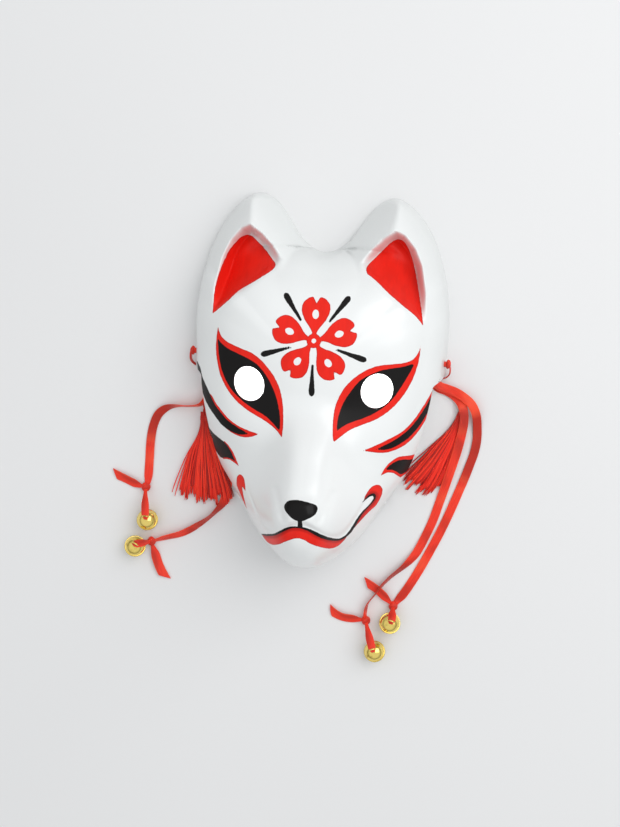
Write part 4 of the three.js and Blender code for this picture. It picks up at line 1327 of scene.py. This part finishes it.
def revolved(profile, sides=56):
    """A closed surface from a half section of (radius, height) turned about +Z."""
    turn = full_turn(sides)
    radius, height = profile[:, 0, None], profile[:, 1, None]
    grid = np.stack([radius * np.cos(turn), radius * np.sin(turn), height + 0 * turn], -1)
    poles = [(0, 0, profile[0, 1]), (0, 0, profile[-1, 1])]
    return closed_tube(grid, poles)


def ring_part(radius, wire, turns=40, sides=14):
    """A closed wire ring in the XZ plane: a small circle carried round a large one."""
    around, across = np.meshgrid(full_turn(turns), full_turn(sides), indexing="ij")
    reach = radius + wire / 2 * np.cos(across)
    points = np.stack([reach * np.cos(around), wire / 2 * np.sin(across), reach * np.sin(around)], -1)
    row, column = np.meshgrid(np.arange(turns), np.arange(sides), indexing="ij")
    beyond, after = (row + 1) % turns * sides, (column + 1) % sides
    corners = [row * sides + column, row * sides + after, beyond + after, beyond + column]
    quads = np.stack(corners, -1).reshape(-1, 4)
    return outward(points.reshape(-1, 3), quads, np.zeros((0, 3), int))


def slit_outline():
    """Plan of the slit below a bell: narrow, with a wider round hole at each end."""
    turn = np.linspace(-np.pi / 2, np.pi / 2, 15)
    end = SLIT_HOLE * np.stack([np.cos(turn), np.sin(turn)], -1) + (SLIT_REACH, 0)
    end[[0, -1], 1] *= SLIT_NARROWING
    return np.concatenate([end, -end])


def build_bell(name, sizes):
    """A round bell of thin sheet with a rolled seam, a slit below and a wire loop on top. Each vertex
    carries its height over the seam as a share of the radius, and the seam itself 0.5, so that the painted
    shade beside the seam leaves it bright."""
    ends = RIBBON_ENDS[name]
    radius = sizes.bell_diameter / 2 - BELL_SEAM
    ball = radius - BELL_SEAM * 0.35
    outer, inside = bell_profile(ball, ball - BELL_WALL)
    piece = mesh_object("bell_shell_" + name, *revolved(outer))
    cut(piece, mesh_object("bell_hollow", *revolved(inside)))
    cut(piece, mesh_object("bell_slit", *prism(slit_outline(), -sizes.bell_diameter, 0.0)))
    loop_place = np.array([0, 0, radius + BELL_LOOP / 2 - BELL_LOOP_WIRE * 0.8])
    vertices, quads, triangles = ring_part((BELL_LOOP - BELL_LOOP_WIRE) / 2, BELL_LOOP_WIRE)
    loop = mesh_object("bell_loop", vertices + loop_place, quads, triangles)
    sharpen(piece, 40)
    both = [piece, loop]
    with bpy.context.temp_override(
            active_object=piece, object=piece, selected_editable_objects=both, selected_objects=both):
        bpy.ops.object.join()
    points = vertex_points(piece)
    rise = points[:, 2] / radius
    set_attribute(piece, "rise", np.where(np.abs(rise) > 0.075, rise, 0.5))
    axis = bell_axis(ends["lean"])
    across = unit(np.cross(axis, (math.cos(ends["lean"]), math.sin(ends["lean"]), 0.0)))
    basis = np.stack([across, np.cross(across, axis), axis])
    placed = points @ basis + np.array([*ends["bell"], BELL_CENTRE_HEIGHT])
    piece.data.vertices.foreach_set("co", placed.astype(np.float32).ravel())
    piece.data.update()
    dress(piece, material("bright_brass", brass_finish), "brass", "bell_" + name)
    return piece


def tassel_spread(t):
    """How far a tassel has opened at a share of its length: nothing at the neck, all at the end."""
    return 0.25 * smooth_step(0.08, 0.5, t) + 0.75 * smooth_step(0.12, 1.05, t)


def tassel_size(t, fan):
    """Half width and half height of the bundle at a share of its length."""
    opened = tassel_spread(t)
    half_width = (TASSEL_NECK_WIDTH * (1 - opened) + fan * opened) / 2
    half_height = (TASSEL_NECK_HEIGHT * (1 - opened) + TASSEL_HEIGHT * opened * (1 - 0.45 * t)) / 2
    return half_width, half_height


def place_tassel(points, tassel):
    """Turns points that were laid along -Y and moves them to the tassel's neck."""
    c, s = math.cos(tassel["turn"]), math.sin(tassel["turn"])
    x, y, z = np.moveaxis(points, -1, 0)
    return np.stack([x * c - y * s, x * s + y * c, z], -1) + np.array(tassel["neck"])


def thread_part(line, radius, tone, sides=6):
    """A round thread along a line. It thins a little at its end, and its tone is its own."""
    across, up = section_frames(line, np.zeros(len(line)))
    angle = full_turn(sides)
    thin = radius * (1 - 0.35 * smooth_step(0.9, 1, np.linspace(0, 1, len(line))))
    ring = np.cos(angle)[:, None] * across[:, None] + np.sin(angle)[:, None] * up[:, None]
    grid = line[:, None] + thin[:, None, None] * ring
    return laid_tube(grid, lengths(line)[:, None], angle, tone)


def tassel_threads(tassel, sizes, random):
    """Threads of a tassel. Each belongs to a lock that has its own length, keeps its share of the
    bundle's width and height as that opens, and sways slowly. Strays lie outside."""
    strays = np.array(tassel["strays"])
    count = sizes.thread_count
    lock = random.integers(0, TASSEL_LOCKS, count)
    lock_length = random.uniform(0.87, 1.0, TASSEL_LOCKS)
    lock_aside = np.linspace(-0.97, 0.97, TASSEL_LOCKS) + random.uniform(-0.02, 0.02, TASSEL_LOCKS)
    aside = np.clip(lock_aside[lock] + random.normal(0, 0.018, count), -1, 1)
    layer = np.sqrt(1 - aside ** 2) * random.uniform(-1, 1, count)
    reach = (lock_length[lock] + random.normal(0, 0.012, count)) * (1 - 0.08 * aside ** 2)
    aside = np.concatenate([aside, strays[:, 0]])[:, None]
    layer = np.concatenate([layer, np.full(len(strays), -0.6)])[:, None]
    reach = np.minimum(np.concatenate([reach, strays[:, 1]]), 1.0)[:, None]
    count = len(aside)
    t = np.linspace(0, 1, THREAD_RINGS)
    share = t * reach
    half_width, half_height = tassel_size(share, tassel["fan"])
    beyond = np.maximum(np.abs(aside) - 1, 0) * tassel_spread(share)
    outwards = np.clip(aside, -1, 1) + np.sign(aside) * beyond
    phase = random.uniform(0, 2 * np.pi, (count, 1))
    sway = random.uniform(0.0002, 0.0008, (count, 1)) * smooth_step(0.2, 0.9, t)
    radius = sizes.thread_width / 2
    x = outwards * (half_width - radius) + sway * np.sin(phase + 6 * t) + tassel["bend"] * share ** 2
    z = half_height * (1 + layer * (1 - radius / half_height))
    z = np.maximum(z + 0.4 * sway * np.cos(phase + 5 * t), radius + 0.0002)
    z = np.maximum(z * (1 - 0.2 * smooth_step(0.75, 1, t)), radius + 0.0001)
    lines = place_tassel(np.stack([x, -share * TASSEL_LENGTH, z], -1), tassel)
    # Each thread's tone is its own at random, and lighter for threads that lie higher in the bundle, as
    # painted light.
    shades = np.clip(random.normal(0.5, 0.3, count) + 0.15 * layer[:, 0], 0, 1)
    return [thread_part(line, radius, shade) for line, shade in zip(lines, shades)]


def tassel_hanger(tassel):
    """The two twisted threads that the tassel hangs by, from its neck up to the ribbon."""
    t = np.linspace(0, 1, 24)
    parts = []
    for phase in (0, np.pi):
        x = 0.0005 * np.cos(9 * t + phase)
        z = TASSEL_NECK_HEIGHT / 2 - 0.0006 * t + 0.0005 * np.sin(9 * t + phase)
        line = np.stack([x, TASSEL_HANGER * t - 0.003, z], -1)
        parts.append(thread_part(place_tassel(line, tassel), 0.00055, 0.4))
    return parts


def tassel_core(tassel):
    """The dense middle of the bundle, so that no light comes through it: an oval that follows the
    tassel's width and height at four fifths, with the ridges of threads round it."""
    share, turn = np.meshgrid(np.linspace(0.02, 0.8, 40), full_turn(96), indexing="ij")
    half_width, half_height = tassel_size(share, tassel["fan"])
    ridges = 1 + 0.05 * np.sin(turn * 32)
    flat = np.sqrt(1 - (share / 0.82) ** 6)
    x = 0.84 * half_width * np.cos(turn) * ridges + tassel["bend"] * share ** 2
    z = half_height * (1 + 0.7 * flat * np.sin(turn) * ridges)
    y = -share * TASSEL_LENGTH * (1 - 0.06 * np.cos(turn) ** 2 * share)
    grid = place_tassel(np.stack([x, y, z], -1), tassel)
    # Its dark tone is painted shade inside the bundle.
    return laid_tube(grid, share * TASSEL_LENGTH, turn, 0.12)


def tassel_binding(tassel, sizes):
    """Thread wound round the neck: a sleeve whose radius rises and falls once a turn."""
    turns = 7
    share = np.linspace(0, 1, turns * 8 + 1)[1:-1, None]
    wound = 0.8 * np.abs(np.sin(np.pi * share * turns)) * sizes.thread_width / 2
    closing = np.sqrt(1 - (2 * share - 1) ** 8)
    turn = full_turn(40)
    x = (TASSEL_NECK_WIDTH / 2 + wound) * closing * np.cos(turn)
    z = TASSEL_NECK_HEIGHT / 2 + (TASSEL_NECK_HEIGHT / 2 + wound) * closing * np.sin(turn)
    y = -0.002 - 0.0045 * share + 0 * x
    return laid_tube(place_tassel(np.stack([x, y, z], -1), tassel), y, x, 0.45)


def build_tassel(name, sizes, seed):
    """One tassel: its threads, its core, its binding and what it hangs by."""
    tassel = TASSELS[name]
    parts = tassel_threads(tassel, sizes, np.random.default_rng(seed))
    parts += [tassel_core(tassel), tassel_binding(tassel, sizes), *tassel_hanger(tassel)]
    piece = laid_piece("thread_tassel_" + name, parts)
    dress(piece, material("silk_thread", thread_finish), "thread", "tassel_" + name)
    return piece


def build_strap_knot(name, side):
    """The ribbon's turns in a strap hole: a fold outside, the neck in the hole, a fold inside and
    the band round the scallop's corner."""
    low, high = (np.array(corner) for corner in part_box("strap_knot_" + name))
    middle, size = (low + high) / 2, high - low
    parts = []
    for place in (-1, 1):
        at = middle + (place * (size[0] - STRAP_FOLD) / 2, 0, 0)
        parts.append(folded_knot(at, (STRAP_FOLD, size[1] * 0.97, size[2] * 0.97), 0.0, 2))
    band = even_line(np.array(STRAP_BAND) * (side, 1, 1), 0.0008)
    half = np.full(len(band), 0.0019)
    parts.append(ribbon_part(band, -half, half, 0.0009, np.full(len(band), 1.45), 0.0001))
    inset = (size[0] / 2 - 0.001, 0, 0)
    neck = np.linspace(middle - inset, middle + inset, 8)
    half = np.full(len(neck), 0.0018)
    parts.append(ribbon_part(neck, -half, half, 0.0026, np.zeros(len(neck))))
    piece = laid_piece("strap_turns_" + name, parts)
    dress(piece, material("satin_ribbon", satin_finish), "ribbon", "strap_knot_" + name)
    return piece


class FOXMASK_OT_shell(bpy.types.Operator):
    """Build the painted shell"""

    bl_idname = "fox_mask.shell"
    bl_label = "Painted shell"

    def execute(self, context):
        shell = build_shell(context.scene.fox_mask_sizes)
        dress(shell, material("painted_lacquer", lacquer_finish), "lacquer", "mask_shell")
        return {"FINISHED"}


class FOXMASK_OT_strap_knots(bpy.types.Operator):
    """Build the ribbon's turns in the strap holes"""

    bl_idname = "fox_mask.strap_knots"
    bl_label = "Strap knots"

    def execute(self, context):
        build_strap_knot("left", -1)
        build_strap_knot("right", 1)
        return {"FINISHED"}


class FOXMASK_OT_ribbons(bpy.types.Operator):
    """Build the ribbons with their knots, tails and bells"""

    bl_idname = "fox_mask.ribbons"
    bl_label = "Ribbons and bells"

    def execute(self, context):
        sizes = context.scene.fox_mask_sizes
        for name in RIBBON_ROUTES:
            ribbon, path = build_ribbon(name, sizes)
            tie = build_tie(name, sizes)
            bell = build_bell(name, sizes)
        return {"FINISHED"}


class FOXMASK_OT_tassels(bpy.types.Operator):
    """Build the thread tassels"""

    bl_idname = "fox_mask.tassels"
    bl_label = "Tassels"

    def execute(self, context):
        for seed, name in enumerate(TASSELS):
            build_tassel(name, context.scene.fox_mask_sizes, 11 + seed)
        return {"FINISHED"}


def soft_light(name, place, target, size, power, spread=180.0):
    """A square light that shines at a target within a spread in degrees."""
    data = bpy.data.lights.new(name, "AREA")
    data.shape = "SQUARE"
    data.size = size
    data.energy = power
    data.spread = math.radians(spread)
    light = bpy.data.objects.new(name, data)
    bpy.context.scene.collection.objects.link(light)
    aim(light, place, target)
    light.visible_camera = False


def aim(thing, place, target, roll=0.0):
    """Moves a camera or light and points it at a target. Its top is towards +Y, then rolled."""
    back = unit(np.array(place) - np.array(target))
    right = unit(np.cross((0.0, 1.0, 0.0), back))
    up = np.cross(back, right)
    c, s = math.cos(roll), math.sin(roll)
    matrix = np.eye(4)
    matrix[:3, :3] = np.stack([right * c + up * s, up * c - right * s, back], -1)
    matrix[:3, 3] = place
    thing.matrix_world = Matrix(matrix.tolist())


def build_camera():
    """The camera at the photograph's angle."""
    data = bpy.data.cameras.new("camera")
    data.lens = CAMERA_LENS
    data.sensor_width = CAMERA_SENSOR
    data.clip_start, data.clip_end = 0.01, 20.0
    camera = bpy.data.objects.new("camera", data)
    bpy.context.scene.collection.objects.link(camera)
    level = math.cos(CAMERA_PITCH)
    back = np.array([
        math.sin(CAMERA_YAW) * level, math.sin(CAMERA_PITCH), math.cos(CAMERA_YAW) * level])
    aim(camera, CAMERA_TARGET + CAMERA_DISTANCE * back, CAMERA_TARGET, CAMERA_ROLL)
    bpy.context.scene.camera = camera


def build_floor():
    """A wide pale floor: a gently dished grid whose middle is flat."""
    count, half = 24, 3.0
    x, y = np.meshgrid(np.linspace(-half, half, count), np.linspace(-half, half, count), indexing="ij")
    z = 0.05 * smooth_step(1.5, half, np.hypot(x, y))
    vertices = np.stack([x, y, z], -1).reshape(-1, 3)
    row, column = np.meshgrid(np.arange(count - 1), np.arange(count - 1), indexing="ij")
    first = row * count + column
    quads = np.stack([first, first + count, first + count + 1, first + 1], -1).reshape(-1, 4)
    floor = mesh_object("floor", vertices, quads, np.zeros((0, 3), int))
    floor.data.materials.append(material("pale_floor", floor_finish))


def build_sky():
    """Even light from above that falls off towards the horizon."""
    world = bpy.data.worlds.new("studio")
    world.use_nodes = True
    background = world.node_tree.nodes["Background"]
    nodes, links = world.node_tree.nodes, world.node_tree.links
    split = nodes.new("ShaderNodeSeparateXYZ")
    links.new(nodes.new("ShaderNodeTexCoord").outputs["Generated"], split.inputs[0])
    height = nodes.new("ShaderNodeMapRange")
    height.interpolation_type = "SMOOTHSTEP"
    height.inputs["From Min"].default_value = SKY_RISE[0]
    height.inputs["From Max"].default_value = SKY_RISE[1]
    links.new(split.outputs["Z"], height.inputs["Value"])
    mix = nodes.new("ShaderNodeMix")
    mix.data_type = "RGBA"
    mix.inputs[6].default_value = SKY_LOW
    mix.inputs[7].default_value = SKY_HIGH
    links.new(height.outputs[0], mix.inputs[0])
    links.new(mix.outputs[2], background.inputs["Color"])
    background.inputs["Strength"].default_value = SKY_STRENGTH
    bpy.context.scene.world = world


class FOXMASK_OT_stage(bpy.types.Operator):
    """Build the floor, the light and the camera"""

    bl_idname = "fox_mask.stage"
    bl_label = "Stage"

    def execute(self, context):
        build_floor()
        build_sky()
        soft_light("key", (0.74, 0.54, 1.05), (0, 0, 0), 1.2, 8.8)
        for side in (-1, 1):
            under_eye = (side * EYE_X * MM, EYE_Y * MM, 0.0)
            soft_light("under_eye", np.add(under_eye, (0, 0, 0.03)), under_eye, 0.03, 0.02, 60.0)
        build_camera()
        context.scene.view_settings.view_transform = "Standard"
        return {"FINISHED"}


class FOXMASK_PT_panel(bpy.types.Panel):
    """Sizes, colours and the operators that build the mask"""

    bl_idname = "FOXMASK_PT_panel"
    bl_label = "Fox mask"
    bl_space_type = "VIEW_3D"
    bl_region_type = "UI"
    bl_category = "Fox mask"

    def draw(self, context):
        for settings in (context.scene.fox_mask_sizes, context.scene.fox_mask_colours):
            for name in settings.__annotations__:
                self.layout.prop(settings, name)
        for operator in OPERATORS:
            self.layout.operator(operator.bl_idname)


OPERATORS = (
    FOXMASK_OT_stage, FOXMASK_OT_ribbons, FOXMASK_OT_strap_knots, FOXMASK_OT_tassels, FOXMASK_OT_shell,
)
CLASSES = (FoxMaskSizes, FoxMaskColours, *OPERATORS, FOXMASK_PT_panel)


def register():
    for made in CLASSES:
        bpy.utils.register_class(made)
    bpy.types.Scene.fox_mask_sizes = bpy.props.PointerProperty(type=FoxMaskSizes)
    bpy.types.Scene.fox_mask_colours = bpy.props.PointerProperty(type=FoxMaskColours)


def unregister():
    del bpy.types.Scene.fox_mask_colours
    del bpy.types.Scene.fox_mask_sizes
    for made in reversed(CLASSES):
        bpy.utils.unregister_class(made)


def main():
    """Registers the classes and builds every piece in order."""
    register()
    bpy.ops.fox_mask.stage()
    bpy.ops.fox_mask.ribbons()
    bpy.ops.fox_mask.strap_knots()
    bpy.ops.fox_mask.tassels()
    bpy.ops.fox_mask.shell()


if __name__ == "__main__":
    main()
